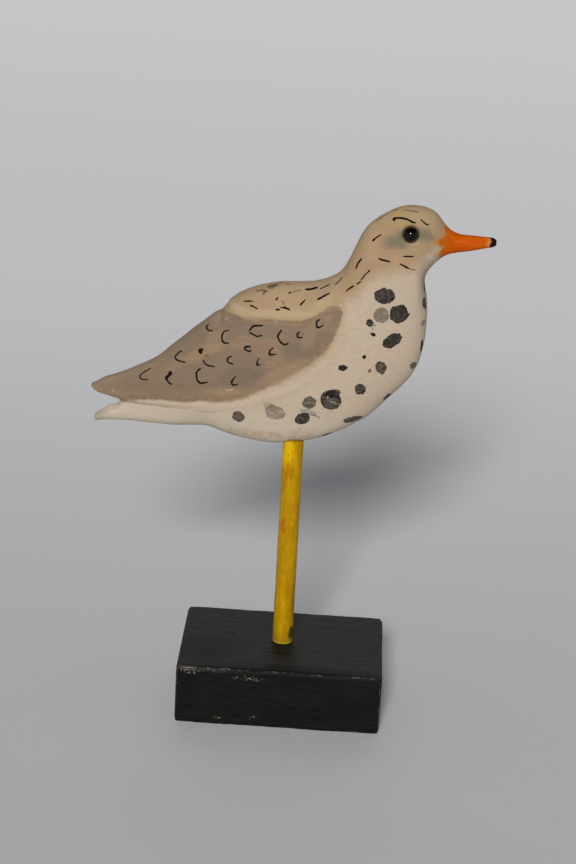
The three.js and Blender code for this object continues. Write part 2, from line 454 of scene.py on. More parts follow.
def beside(x, y, start, end):
    """How far along a straight run points lie, from 0 to 1, and their steps aside from it."""
    run, climb = end[0] - start[0], end[1] - start[1]
    share = ((x - start[0]) * run + (y - start[1]) * climb) / max(run * run + climb * climb, NO_RUN)
    share = np.clip(share, 0, 1)
    return share, x - start[0] - share * run, y - start[1] - share * climb


def left_of(x, z, line):
    """How far points lie to the left of a line in the side view, or to the right if negative."""
    nearest = np.full(len(x), np.inf)
    side = np.ones(len(x))
    for (x0, z0), (x1, z1) in zip(line, line[1:]):
        away = np.hypot(*beside(x, z, (x0, z0), (x1, z1))[1:])
        nearer = away < nearest
        nearest = np.where(nearer, away, nearest)
        side = np.where(nearer, np.sign((x1 - x0) * (z - z0) - (z1 - z0) * (x - x0)), side)
    return nearest * side


def from_shares(corners):
    """A line's corners in millimetres, from hundredths of the bird's length."""
    return [(x * bird_length / 100, z * bird_length / 100 + BELLY) for x, z in corners]


at = points_of(bird)
along = at[:, 0] / bird_length * 100
aside = np.abs(at[:, 1])
above_lower = left_of(at[:, 0], at[:, 2], smooth_line(from_shares(WING_LOWER_EDGE)))
below_upper = left_of(at[:, 0], at[:, 2], smooth_line(from_shares(WING_UPPER_EDGE)))
print("points on the wings:", int(((above_lower > 0) & (below_upper > 0)).sum()))

# %% Bird: sand the wing
EDGE_SANDING = 90
WING_SANDED = 1.3
on_flank = rise(aside, 2.5, 6)
on_wing = rise(above_lower, -2, 2.5) * rise(below_upper, -0.5, 3) * rise(aside, 12, 16)
knife_line = bell(above_lower, -1.0, 1.0) * on_flank * rise(along, -16, -26)
above_wing = bell(below_upper, -3.2, 2.0) * on_flank * rise(along, -19, -15) * rise(along, 9, 6)
low_edge = rise(np.abs(above_lower), 9, 3) * rise(along, -44, -37)
sand(bird, "low_edge", EDGE_SANDING, low_edge)
push(bird, "flattened", -WING_SANDED, on_wing * rise(along, -46, -38))
print("wing sanded by", WING_SANDED, "mm")

# %% [markdown]
# ## Tail and wing tips
#
# Under the wing tips the tail isn't a flat board: its top is pared to a ridge that slopes to both
# sides. The ridge is drawn in the side view, in millimetres. Wood above the slope is pared away,
# and the sliver that closes the cut is brought up to it. Then the tail's tip is drawn out a
# little, the wing tips are pared to a point and the step behind the mantle is deepened. Each is
# one push of the skin along one axis, weighted by place and by how far the skin faces up.

# %% Bird: the tail's ridge
TAIL_SLOPE = 0.85
TAIL_CUT = 8.0
SLIVER_SANDING = 50
TAIL_RIDGE = [
    (-118.6, 174.6), (-117.9, 176.4), (-116.5, 178.3), (-114.1, 180.4), (-111.8, 182.3),
    (-109.5, 183.7), (-106.5, 184.9), (-104.8, 186.0), (-102.7, 187.2), (-99.0, 189.0),
]
ridge = np.interp(at[:, 0], *zip(*TAIL_RIDGE)) - TAIL_SLOPE * (np.hypot(aside, 1.0) - 1.0)
on_tail = rise(above_lower, 0.0, -0.9) * rise(along, -42, -45.5)
facing_up = rise(normals_of(bird)[:, 2], 0.0, 0.5)
too_high = np.clip((at[:, 2] - ridge) / TAIL_CUT, 0, 1) * on_tail
too_low = np.clip((ridge - at[:, 2]) / TAIL_CUT, 0, 1) * on_tail * facing_up * rise(aside, 5, 3)
push(bird, "pared", -TAIL_CUT, too_high, "Z")
push(bird, "raised", TAIL_CUT, too_low, "Z")
mended = rise(np.abs(along + 44.0), 3.4, 1.8) * rise(above_lower, 0.6, -0.6)
sand(bird, "mended", SLIVER_SANDING, mended * rise(above_lower, -8, -5))
print("tail pared by up to", round(float(too_high.max()) * TAIL_CUT, 1), "mm")

# %% Bird: tips and step
STEP_CUT = 1.4
TAIL_LONGER = 1.3
TIP_PARED = 1.4
TAIL_SANDING = 14
GROOVE = 0.4
HOLLOW = 0.7
on_back = rise(normals_of(bird)[:, 2], 0.0, 0.5) * rise(aside, 15, 10)
on_back *= rise(at[:, 2], BELLY + 60, BELLY + 64)
push(bird, "behind_mantle", -STEP_CUT, bell(along, -19.8, 0.9) * on_back, "Z")
tail_tip = rise(above_lower, -1.5, -3.0) * rise(along, -48, -50.6)
push(bird, "longer", -TAIL_LONGER, tail_tip, "X")
wing_tip = rise(normals_of(bird)[:, 2], 0.0, 0.6) * rise(above_lower, 1, 4)
push(bird, "pointed", -TIP_PARED, wing_tip * rise(along, -48.6, -51.6), "Z")
tail = rise(above_lower, 0.5, -1.0) * rise(along, -37, -42) * rise(along, -53, -50)
sand(bird, "tail", TAIL_SANDING, tail)
push(bird, "groove", -GROOVE, knife_line)
push(bird, "hollow", -HOLLOW, above_wing)
print("tail drawn out by", TAIL_LONGER, "mm, wing tips pared by", TIP_PARED, "mm")

# %% [markdown]
# ## Hand-carved unevenness
#
# No two strokes of a knife are the same, so the real skin has broad flats, finer facets and the
# relief of the brush. Three cloud textures push such lumps into the skin. It is first raised by
# about their mean depth, so that the bird keeps its size, and the bill's root is pared slimmer.

# %% Bird: flats, facets and brushwork
RAISED_FIRST = 0.35
BILL_PARED = 0.5
full = rise(along, -54, -48) * rise(along, 47, 40)
push(bird, "slim", -BILL_PARED, rise(along, 40, 45) * rise(along, 53, 46))
push(bird, "full", RAISED_FIRST, full)
for name, size, depth in (("carved", 30, 0.9), ("whittled", 11, 0.35), ("brushed_on", 3.5, 0.07)):
    dent(bird, name, size, depth, "full")
take(bird)
bpy.ops.object.shade_smooth()
at = points_of(bird)
print("bird box:", at.min(0).round(2), at.max(0).round(2))

# %% [markdown]
# ## The glass eyes
#
# Each eye is a round black bead, glued into a seat in the side of the head. A sphere with fine
# rings replaces the frame's faceted bead, at the same place and size.

# %% Eyes: two beads
eyes = []
for node in ("eye_right", "eye_left"):
    low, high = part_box(node)
    bpy.ops.mesh.primitive_uv_sphere_add(
        segments=64, ring_count=32, radius=(high.x - low.x) / 2, location=(low + high) / 2,
        rotation=(math.pi / 2, 0, 0))
    bead = bpy.context.object
    bead.name = node.replace("eye", "bead")
    bpy.ops.object.transform_apply(location=True, rotation=True, scale=True)
    bpy.ops.object.shade_smooth()
    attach(bead, "root")
    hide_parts(node)
    eyes.append(bead)
    print(bead.name, "centre", [round(v / MM, 1) for v in (low + high) / 2])

# %% [markdown]
# ## Which piece stands for which solid
#
# Nothing on this object moves, so all pieces ride on the one body. Each takes the place of the
# frame's plain solid, which is hidden.

# %% Pieces in the frame
for piece, node, finish in (
    (block, "base_block", "block_paint"),
    (leg, "dowel_leg", "leg_paint"),
    (bird, "bird", "bird_paint"),
):
    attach(piece, "root")
    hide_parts(node)
    print(piece.name, "stands for", node)

# %% [markdown]
# ## Aiming at the bird
#
# The brush marks are placed by aiming from the camera at the skin. A mark is measured in the
# photograph's pixels, and its width and height are laid onto the sloping skin, so a round dab on
# the breast's edge is as long there as a real dab would be.

# %% Lines of sight
FOCAL = LENS / SENSOR * PHOTO_HEIGHT
bpy.context.view_layer.update()
view_right, view_up, view_back = (Vector(camera.matrix_world.col[i][:3]) for i in range(3))
skin = BVHTree.FromObject(bird, bpy.context.evaluated_depsgraph_get())
PHOTO_PIXEL = DISTANCE / FOCAL / MM
ROUND_THE_PIXEL = ((0, 0), (1.5, 0), (-1.5, 0), (0, 1.5), (0, -1.5))
MOST_EDGE_ON = -0.1
MOST_DRAWN_OUT = 1.6
print("one pixel of the photograph is", round(PHOTO_PIXEL, 3), "mm at the bird")


def sight(px, py):
    """The direction in which the photographer sees a pixel of the photograph."""
    across = (px - PHOTO_WIDTH / 2) / FOCAL
    upwards = (PHOTO_HEIGHT / 2 - py) / FOCAL
    return (view_right * across + view_up * upwards - view_back).normalized()


def crossing(px, py, axis, level):
    """Where a line of sight crosses the plane on which this axis has this many millimetres."""
    ray = sight(px, py)
    reach = (level * MM - camera.location[axis]) / ray[axis]
    return (camera.location + ray * reach) / MM


def pixels_of(points):
    """The pixels at which the photographer sees these points, given in millimetres."""
    away = points * MM - np.array(camera.location)
    depth = -away @ np.array(view_back)
    px = PHOTO_WIDTH / 2 + away @ np.array(view_right) / depth * FOCAL
    py = PHOTO_HEIGHT / 2 - away @ np.array(view_up) / depth * FOCAL
    return px, py


def touch(px, py):
    """The point of the skin seen at a pixel and the skin's mean direction there."""
    hits = [skin.ray_cast(camera.location, sight(px + dx, py + dy)) for dx, dy in ROUND_THE_PIXEL]
    found = [hit for hit in hits if hit[0] is not None]
    if not found:
        found = [skin.find_nearest(crossing(px, py, 1, 0) * MM)]
    normal = sum((hit[1] for hit in found), Vector())
    return found[0][0], normal.normalized()


def laid_on(spot, normal, dx, dy):
    """The step along the skin that looks like (dx, dy) pixels, in millimetres."""
    ray = (spot - camera.location).normalized()
    depth = (spot - camera.location).dot(-view_back)
    flat = (view_right * dx - view_up * dy) * depth / FOCAL
    slope = -flat.dot(normal) / min(ray.dot(normal), MOST_EDGE_ON)
    most = MOST_DRAWN_OUT * flat.length
    return (flat + ray * max(-most, min(most, slope))) / MM


# %% [markdown]
# ## How the marks reach the shader
#
# A mark is only a millimetre or two wide, finer than the mesh could colour by its points. So the
# points don't carry colours. They carry where they lie beside their nearest mark, measured on a
# flat sheet laid against the skin there. For a dab that is the place inside its ellipse. For a
# thin stroke it is the step from the nearest place of its curve, and how far along the curve
# that is. Such numbers change evenly from point to point, and the shader draws the mark's own
# sharp or ragged outline from them. Marks that come close to each other go in separate layers,
# so that no point has to belong to two of them. The same marks are painted on the other side, a
# little displaced, as a hand would do it.

# %% Marks as attributes of the mesh
NEAR = 2.2
APART = 3.08
NOWHERE_NEAR = 9.0
SPOT_DEPTH = 7.0
STROKE_DEPTH = 5.0
FAR_SIDE_DRIFT = 1.8


def both_sides(points):
    """The points' places on the right side, with the left side's a little displaced."""
    x, y, z = points.T
    drift = FAR_SIDE_DRIFT * rise(y, 0, 8)
    return np.stack([
        x + drift * np.sin(z / 9 + 1.0),
        -np.abs(y),
        z + drift * np.sin(x / 12 + 2.0),
    ], axis=1)


painted_at = both_sides(points_of(bird))


def blot(px, py, width, height, turned, tone, streaky):
    """A roundish mark: where each point lies in it, and how far from its rim in millimetres."""
    spot, normal = touch(px, py)
    cos, sin = math.cos(math.radians(turned)), math.sin(math.radians(turned))
    across = laid_on(spot, normal, width / 2 * cos, -width / 2 * sin)
    upwards = laid_on(spot, normal, -height / 2 * sin, -height / 2 * cos)
    axes = np.array([across, upwards, normal]).T
    local = (painted_at - np.array(spot) / MM) @ np.linalg.inv(axes).T
    size = min(across.length, upwards.length)
    off = (np.hypot(local[:, 0], local[:, 1]) - 1) * size
    off[np.abs(local[:, 2]) > SPOT_DEPTH] = np.inf
    return np.column_stack([local[:, :2], np.zeros(len(local))]), off, (tone, streaky, size)


def stroke(half, tone, *pixels):
    """A thin curve through a few pixels: the step to each point from the curve's nearest place."""
    curve = smooth_line(list(pixels), 4)
    spot, normal = touch(*np.mean(curve, axis=0))
    right = (view_right - normal * view_right.dot(normal)).normalized()
    sheet = np.array([right, normal.cross(right), normal]).T
    local = (painted_at - np.array(spot) / MM) @ sheet
    corners = [(np.array(touch(*pixel)[0] - spot) / MM @ sheet)[:2] for pixel in curve]
    step = np.full((len(local), 2), np.inf)
    share = np.zeros(len(local))
    for number, (start, end) in enumerate(zip(corners, corners[1:])):
        passed, *here = beside(local[:, 0], local[:, 1], start, end)
        nearer = np.hypot(*here) < np.hypot(*step.T)
        step[nearer] = np.transpose(here)[nearer]
        share[nearer] = (number + passed[nearer]) / (len(corners) - 1)
    off = np.hypot(*step.T)
    off[np.abs(local[:, 2]) > STROKE_DEPTH] = np.inf
    return np.column_stack([step, share]), off, (half * PHOTO_PIXEL, tone, 0.0)


def store(name, *columns):
    """Stores up to three numbers for each point of the bird, as one attribute."""
    rows = np.zeros((len(painted_at), 3), dtype=np.float32)
    rows[:, :len(columns)] = np.transpose(columns)
    attribute = bird.data.attributes.new(name, "FLOAT_VECTOR", "POINT")
    attribute.data.foreach_set("vector", rows.ravel())


def lay_marks(name, marks):
    """Shares marks out over layers and stores each layer. Returns the number of layers."""
    layers = []
    for mark in marks:
        here = mark[1] < APART
        home = next((layer for layer in layers if not (layer["taken"] & here).any()), None)
        if home is None:
            home = {"taken": np.zeros(len(here), bool), "marks": []}
            layers.append(home)
        home["taken"] |= here
        home["marks"].append(mark)
    for number, layer in enumerate(layers):
        nearest = np.full(len(painted_at), np.inf)
        place = np.zeros((len(painted_at), 3))
        traits = np.zeros((len(painted_at), 3))
        for local, off, kind in layer["marks"]:
            mine = off < nearest
            nearest[mine] = off[mine]
            place[mine] = local[mine]
            traits[mine] = kind
        store(f"{name}_place_{number}", *place.T)
        store(f"{name}_traits_{number}", *traits.T)
        store(f"{name}_reach_{number}", nearest < NEAR, np.minimum(nearest, NOWHERE_NEAR))
    print(name, "marks:", len(marks), "in", len(layers), "layers")
    return len(layers)


# %% [markdown]
# ## The breast's spots
#
# The spots are dabs of thin black, about as large as a fingertip or less, from nearly solid to a
# pale streaky grey. Each row gives the dab's middle, width and height in the photograph, how far
# it is turned, how dark it is and how streaky. A streakiness below 0 stands for a fleck of cream
# paint.

# %% Spots on breast and belly
SPOTS = [
    (384.6, 296.1, 21.0, 16.4, 0, 0.96, 0.15),
    (399.0, 314.2, 19.0, 18.4, 20, 0.97, 0.1),
    (381.3, 315.4, 15.6, 15.0, 0, 0.68, 0.3),
    (369.6, 322.6, 7.6, 7.0, 0, 0.99, 0.5),
    (373.0, 334.6, 5.2, 4.0, -20, 0.99, 0.1),
    (392.4, 340.8, 21.4, 12.6, 32, 0.97, 0.1),
    (364.3, 357.2, 4.2, 3.6, 0, 0.99, 0.0),
    (381.4, 368.0, 10.8, 13.0, 20, 0.93, 0.5),
    (370.0, 370.9, 3.2, 5.0, -20, 0.75, 0.3),
    (342.7, 367.8, 9.2, 6.0, 5, 0.99, 0.1),
    (360.3, 389.3, 11.6, 11.4, 0, 0.95, 0.4),
    (331.2, 400.2, 20.0, 20.0, 0, 0.96, 0.45),
    (333.0, 393.6, 16.0, 8.0, 10, 0.90, 0.3),
    (327.8, 396.8, 5.6, 2.0, 62, 0.40, -1.0),
    (333.4, 402.6, 7.6, 2.2, -18, 0.28, -1.0),
    (309.4, 402.6, 14.0, 12.0, 15, 0.84, 0.6),
    (309.8, 403.4, 2.4, 2.0, 0, 0.90, -1.0),
    (302.4, 418.8, 16.0, 11.6, 14, 0.96, 0.3),
    (309.0, 412.4, 18.0, 5.6, -14, 0.42, 1.0),
    (275.0, 412.6, 20.0, 13.6, -14, 0.56, 0.9),
    (270.0, 406.0, 14.0, 6.4, -20, 0.42, 0.9),
    (238.4, 416.5, 12.4, 10.4, -25, 0.88, 0.3),
    (424.2, 286.0, 2.8, 11.4, 0, 0.95, 0.1),
    (424.6, 303.2, 4.4, 11.0, 5, 0.90, 0.4),
    (423.2, 323.0, 3.2, 6.4, -20, 0.62, 0.4),
    (421.8, 345.8, 3.0, 12.6, -8, 0.96, 0.1),
    (413.6, 365.2, 8.4, 5.6, 40, 0.85, 0.5),
    (387.2, 396.6, 10.0, 3.6, 38, 0.97, 0.2),
    (353.0, 419.4, 19.0, 4.8, 17, 0.94, 0.5),
    (326.8, 434.4, 12.0, 3.2, 17, 0.97, 0.1),
    (210.4, 333.0, 3.6, 2.0, 20, 0.35, -1.0),
    (229.6, 390.0, 9.0, 1.8, 5, 0.34, -1.0),
    (113.0, 390.4, 5.0, 2.2, -25, 0.24, -1.0),
    (226.8, 318.2, 4.6, 2.8, 20, 0.28, -1.0),
    (219.0, 317.4, 4.0, 2.0, 30, 0.20, -1.0),
    (275.4, 321.8, 4.6, 1.8, 5, 0.28, -1.0),
    (272.4, 286.0, 10.5, 4.0, 12, 0.60, 0.6),
]
spot_layers = lay_marks("spot", [blot(*row) for row in SPOTS])

# %% [markdown]
# ## Brush strokes on head, neck, back and wing
#
# The dashes and the small open C shapes of the feathers were drawn with a fine brush. Each row
# gives half a stroke's thickness in the photograph, how dark it is and the pixels that it runs
# through.

# %% Dashes
DASHES = [
    (0.85, 1.0, (394.0, 220.3), (394.0, 218.4), (401.5, 218.1), (408.0, 219.9), (413.4, 222.6)),
    (0.60, 1.0, (412.4, 222.5), (415.4, 222.7)),
    (0.50, 0.9, (420.8, 219.5), (424.3, 222.7), (426.7, 224.7), (428.5, 224.7)),
    (0.50, 0.6, (403.7, 210.0), (410.0, 210.7), (418.7, 211.9)),
    (0.60, 0.4, (409.3, 206.6), (416.7, 206.9)),
    (0.60, 0.5, (391.3, 210.9), (398.0, 209.4)),
    (0.55, 0.6, (376.9, 220.6), (382.0, 217.0), (387.3, 213.9)),
    (0.85, 1.0, (373.0, 240.5), (374.6, 238.9)),
    (0.55, 1.0, (374.0, 239.4), (377.0, 237.0), (381.0, 234.7)),
    (0.80, 1.0, (356.0, 268.0), (358.0, 263.3), (361.3, 259.0)),
    (0.75, 1.0, (379.0, 258.7), (384.0, 260.3), (389.3, 261.5)),
    (0.60, 0.9, (403.5, 256.5), (413.0, 256.5)),
    (0.65, 1.0, (400.3, 264.1), (404.7, 266.3), (408.7, 268.5)),
    (0.40, 0.6, (408.7, 268.5), (412.0, 269.5), (415.3, 269.9)),
    (0.50, 1.0, (370.0, 270.1), (364.7, 275.3), (361.3, 280.0)),
    (0.60, 1.0, (360.4, 281.8), (357.0, 284.3)),
    (0.65, 0.9, (346.6, 291.1), (350.7, 287.5), (353.9, 286.1)),
    (0.50, 0.8, (335.3, 284.5), (338.9, 281.1), (342.5, 277.3)),
    (0.45, 0.8, (320.3, 288.8), (325.3, 286.4), (329.8, 284.3)),
    (1.05, 1.0, (306.0, 289.3), (310.7, 289.1), (316.8, 287.6)),
    (0.75, 1.0, (317.8, 299.5), (321.6, 297.3), (329.2, 293.2)),
    (0.60, 1.0, (300.5, 304.7), (304.8, 300.2)),
    (0.95, 0.95, (289.3, 292.8), (290.0, 292.6)),
    (0.40, 0.6, (291.4, 292.4), (295.0, 291.5), (300.4, 290.2)),
    (0.90, 0.55, (268.2, 286.8), (276.0, 285.0), (281.4, 282.4)),
    (0.60, 0.6, (285.1, 283.8), (289.8, 284.4)),
    (0.80, 0.62, (256.9, 291.0), (261.6, 290.2), (267.2, 291.3)),
    (0.80, 0.62, (265.2, 291.0), (263.2, 294.2)),
    (0.90, 0.72, (244.6, 301.3), (252.4, 301.1)),
    (0.50, 0.9, (250.1, 305.3), (253.5, 306.5), (257.4, 308.9)),
    (0.70, 1.0, (277.7, 298.1), (276.2, 300.0)),
    (0.50, 0.5, (282.1, 300.6), (284.4, 304.6)),
    (0.50, 0.95, (280.7, 307.2), (283.5, 308.0), (285.6, 306.6)),
    (0.80, 1.0, (284.4, 308.0), (286.4, 308.3), (289.4, 309.7)),
    (0.80, 0.95, (276.4, 309.7), (279.2, 309.5)),
    (0.45, 0.9, (405.4, 317.8), (408.0, 316.2), (409.6, 313.2)),
    (0.45, 0.9, (404.4, 308.4), (403.8, 304.8)),
    (0.45, 0.9, (391.6, 299.8), (394.4, 298.6)),
    (0.40, 0.6, (371.6, 325.8), (375.4, 325.0)),
    (0.35, 0.5, (371.8, 326.2), (372.6, 330.0)),
    (0.60, 0.5, (311.6, 415.4), (315.4, 415.6), (319.6, 417.8)),
    (0.40, 0.8, (324.6, 392.0), (321.6, 396.0), (321.4, 402.0), (324.6, 407.6)),
]

# %% Feather marks
FEATHERS = [
    (0.60, 1.0, (208.8, 324.2), (206.4, 326.5), (208.0, 329.8), (212.3, 331.2)),
    (0.65, 1.0, (228.2, 330.5), (223.8, 331.8), (221.7, 337.4), (223.4, 342.4), (228.8, 343.0)),
    (0.85, 1.0, (262.1, 325.8), (254.0, 326.1), (249.6, 330.2)),
    (0.65, 1.0, (249.8, 332.6), (253.4, 334.4), (256.8, 336.5), (261.5, 335.5)),
    (0.75, 1.0, (281.2, 330.6), (277.9, 336.0), (280.4, 342.0), (284.6, 344.7), (287.8, 343.3)),
    (0.60, 0.95, (299.6, 332.5), (297.3, 333.8), (297.1, 336.5), (299.2, 337.8), (302.5, 337.4)),
    (0.60, 0.6, (302.8, 334.5), (303.3, 334.5)),
    (0.70, 1.0, (319.6, 319.5), (316.6, 321.8), (316.6, 325.3), (318.1, 327.5), (323.1, 325.5)),
    (0.65, 1.0, (250.4, 346.3), (246.2, 346.5), (244.3, 348.4), (246.5, 350.2), (250.7, 351.5)),
    (0.65, 1.0, (273.2, 348.2), (270.2, 350.3), (269.4, 352.6), (269.8, 354.8), (275.4, 354.2)),
    (0.50, 0.9, (259.0, 358.4), (256.9, 361.8), (256.7, 364.4), (257.6, 365.4), (260.0, 364.3)),
    (0.65, 1.0, (231.5, 356.3), (228.4, 357.6), (227.1, 360.2), (228.9, 362.6), (233.3, 364.0)),
    (0.65, 1.0, (203.1, 360.3), (204.6, 363.0), (208.4, 365.6), (214.0, 366.6)),
    (0.40, 0.6, (208.3, 354.3), (204.2, 356.9)),
    (0.40, 0.5, (209.2, 357.2), (206.7, 357.7)),
    (0.65, 1.0, (182.1, 351.3), (179.4, 352.1), (175.3, 356.5), (177.3, 360.2), (185.0, 362.3)),
    (0.50, 0.9, (150.5, 368.3), (144.2, 372.0), (139.6, 376.2), (142.4, 379.3), (147.2, 379.4)),
    (1.25, 1.0, (169.8, 372.4), (171.0, 373.4), (166.6, 377.4), (166.8, 379.4)),
    (0.80, 1.0, (166.9, 379.6), (168.4, 382.4), (171.6, 384.2)),
    (0.80, 1.0, (200.4, 368.6), (196.7, 372.2), (197.1, 379.4), (200.8, 383.2), (206.9, 382.2)),
    (0.70, 1.0, (235.4, 376.8), (232.2, 380.2), (231.6, 383.4), (233.3, 385.2), (237.3, 384.3)),
    (1.25, 1.0, (202.2, 349.5), (199.6, 350.6), (200.6, 353.0)),
]
stroke_layers = lay_marks("stroke", [stroke(*row) for row in DASHES + FEATHERS])

# %% [markdown]
# ## Broad areas of paint
#
# Larger areas have edges that a distance can draw: the grey-brown of the wing, the tan of head
# and back that fades into the cream of the breast, and the orange of the bill, which ends in
# ragged brush strokes on the cheek. Their outlines are drawn in the photograph, the mesh stores
# how far inside them each point lies, and the shader roughens those distances into brushed
# edges. The crease under the wing is a line, so its outline runs there and back. The wing's
# paint was dabbed on in overlapping patches, stored in the same way.

# %% Distances to painted edges
TAN_AREA = [
    (452.0, 252.0), (441.0, 254.0), (432.0, 256.0), (422.0, 261.5), (415.0, 268.0), (405.0, 271.5),
    (392.0, 273.0), (382.0, 275.5), (374.0, 280.0), (364.0, 287.5), (354.0, 295.0), (345.0, 301.5),
    (338.0, 312.0), (330.0, 335.0), (300.0, 360.0), (260.0, 380.0), (220.0, 392.0), (60.0, 385.0),
    (60.0, 120.0), (460.0, 120.0),
]
WING_PAINT = [
    (331.5, 306.0), (338.0, 306.6), (343.0, 311.5), (342.6, 318.0), (338.6, 328.0), (333.6, 340.0),
    (327.0, 351.0), (318.0, 359.4), (308.5, 366.4), (298.0, 373.0), (287.0, 379.0), (276.0, 384.4),
    (265.0, 389.4), (254.0, 394.2), (243.0, 398.8), (229.0, 402.3), (214.0, 402.2), (200.0, 401.0),
    (184.0, 403.0), (167.0, 400.5), (150.0, 399.6), (136.0, 400.2), (123.0, 401.0), (105.0, 398.0),
    (88.0, 394.0), (75.0, 380.0), (140.0, 320.0), (215.0, 295.0), (225.0, 309.5), (230.5, 312.5),
    (237.5, 314.8), (243.0, 318.6), (254.0, 320.6), (271.0, 319.0), (284.0, 320.6), (300.0, 321.0),
    (312.0, 317.0), (322.5, 311.0),
]
CREASE = [
    (120.8, 398.6), (126.8, 400.8), (138.8, 403.0), (152.2, 404.6), (163.4, 406.7), (174.6, 408.0),
    (189.6, 409.6), (203.0, 411.4), (216.0, 412.6),
]
BILL = [
    (446.5, 222.0), (445.2, 228.5), (446.6, 234.6), (441.6, 239.0), (436.2, 241.8), (439.8, 244.8),
    (443.8, 246.6), (441.4, 249.6), (439.2, 252.6), (440.4, 256.5), (445.0, 264.0), (512.0, 264.0),
    (512.0, 222.0),
]
BILL_TIP = [
    (489.8, 230.0), (490.0, 237.6), (491.5, 241.4), (489.9, 245.0), (489.4, 250.0), (489.0, 256.0),
    (512.0, 256.0), (512.0, 230.0),
]
# Middle, width, height and turn of each patch of the wing's paint
GREY_DABS = [
    (230, 328, 60, 24, 25), (262, 330, 60, 18, 0), (300, 346, 44, 40, 20), (232, 368, 66, 40, 0),
    (190, 380, 56, 30, -4), (192, 340, 64, 22, 33), (132, 381, 60, 18, 12), (243, 378, 30, 30, 10),
]
DARK_DABS = [
    (337, 317, 12, 20, -20), (326, 338, 14, 30, -30), (298, 350, 30, 16, 0), (188, 342, 76, 14, 33),
    (140, 371, 66, 11, 20), (245, 322, 40, 8, 0), (238, 378, 40, 18, 8), (165, 386, 60, 14, -4),
    (176, 352, 40, 12, 28),
]
LIGHT_DABS = [
    (204, 352, 46, 13, 24), (290, 372, 60, 18, 24), (216, 338, 22, 12, 30), (232, 392, 80, 8, 0),
    (124, 394, 44, 7, -8), (272, 323, 50, 5, -3), (308, 338, 16, 26, -20), (175, 366, 30, 8, 20),
    (336, 308, 12, 5, 20),
]


def inside_of(px, py, outline):
    """How far pixels lie inside a closed outline, in millimetres; negative outside."""
    nearest = np.full(len(px), np.inf)
    within = np.zeros(len(px), bool)
    for (x0, y0), (x1, y1) in zip(outline, [*outline[1:], outline[0]]):
        nearest = np.minimum(nearest, np.hypot(*beside(px, py, (x0, y0), (x1, y1))[1:]))
        if y0 != y1:
            within ^= ((y0 > py) != (y1 > py)) & (px < x0 + (py - y0) * (x1 - x0) / (y1 - y0))
    return np.where(within, nearest, -nearest) * PHOTO_PIXEL


def reach_in(px, py, middle_x, middle_y, width, height, turned=0):
    """0 in the middle of an elliptic patch and 1 on its rim."""
    cos, sin = math.cos(math.radians(turned)), math.sin(math.radians(turned))
    right, up = px - middle_x, middle_y - py
    return np.hypot((right * cos + up * sin) / (width / 2), (up * cos - right * sin) / (height / 2))


def in_dabs(px, py, dabs):
    """How far pixels lie inside the union of elliptic patches, in millimetres."""
    depths = [(1 - reach_in(px, py, *dab)) * min(dab[2:4]) / 2 * PHOTO_PIXEL for dab in dabs]
    return np.maximum.reduce(depths)


px, py = pixels_of(painted_at)
there_and_back = CREASE + CREASE[-2:0:-1]
areas = [inside_of(px, py, line) for line in (TAN_AREA, WING_PAINT, there_and_back)]
store("areas", *areas)
store("dabs", *(in_dabs(px, py, dabs) for dabs in (GREY_DABS, DARK_DABS, LIGHT_DABS)))
store("bill", inside_of(px, py, BILL), inside_of(px, py, BILL_TIP),
      painted_at[:, 0] / bird_length * 100)
print("points inside the wing's paint:", int((areas[1] > 0).sum()))

# %% [markdown]
# ## Soft tints
#
# Some colour has no edge at all: grey smudges and yellow tints round the eye, pale paint at the
# bill's root, grey painted shade on throat, neck and tail, a painted highlight along the hollow
# above the wing and a stain of glue round the leg. A soft elliptic spot stands for each. The
# beads are glued in a dark ring, which needs only the distance from the eye.

# %% Soft spots on the skin
EYE_X, EYE_Y = 410.3, 235.0
MIDDLE_STRIP = 4.0
OUT_OF_REACH = 40.0
# Middle, width, height and turn in the photograph
SMUDGES = [
    (393.4, 241.8, 22, 15, 10), (400.0, 237.6, 12, 15, 0), (401.5, 243.6, 15, 12, 0),
    (423.5, 235.0, 19, 14, 0), (430.5, 236.0, 11, 10, 0),
]
YELLOW_TINTS = [
    (401.6, 224.6, 13, 7, 0), (433.2, 233.6, 4, 6, 0), (434.0, 247.0, 7, 6, 0),
    (399.0, 213.4, 18, 7, 10),
]
# Under the bill's root
PALE_PATCHES = [(438.0, 250.0, 9, 9, 0), (431.0, 258.0, 10, 6, -40), (436.0, 262.0, 12, 6, -50)]
# Where the wing's paint thins out along its lower edge
THIN_EDGE = [(292, 378, 96, 34, 27), (238, 396, 60, 14, 5)]
# Painted shade on throat, chin, the wing's rear edge, the tail's tip and the neck's root
PAINTED_SHADE_PATCHES = [
    (425.0, 284.0, 12, 46, -6), (434.0, 262.0, 22, 10, 48), (140.0, 366.0, 60, 4, 21),
    (95.0, 416.0, 24, 16, 30), (326.0, 287.0, 26, 12, 30),
]
# Painted highlight along the hollow above the wing, and a stain of glue round the leg
COVE_HIGHLIGHT = [(282.0, 313.5, 104, 10, 0), (322.0, 304.0, 30, 9, 28), (238.0, 308.0, 30, 8, -30)]
STAINS = [(297.0, 436.0, 34, 12, 0), (262.0, 434.0, 60, 7, -6)]


def soft_spots(px, py, spots):
    """1 in the middle of soft round spots and 0 away from them."""
    return np.maximum.reduce([np.exp(-0.9 * reach_in(px, py, *spot) ** 2.6) for spot in spots])


from_eye = np.hypot(px - EYE_X, py - EYE_Y) * PHOTO_PIXEL
from_eye += OUT_OF_REACH * (np.abs(points_of(bird)[:, 1]) < MIDDLE_STRIP)
store("face", soft_spots(px, py, SMUDGES), soft_spots(px, py, YELLOW_TINTS), from_eye)
store("soft", *(soft_spots(px, py, spots) for spots in (PALE_PATCHES, THIN_EDGE, PAINTED_SHADE_PATCHES)))
# The painted highlight above the wing, and the stain round the leg
store("highlight_and_stain", *(soft_spots(px, py, spots) for spots in (COVE_HIGHLIGHT, STAINS)))
print("attributes:", sum(a.data_type == "FLOAT_VECTOR" for a in bird.data.attributes))

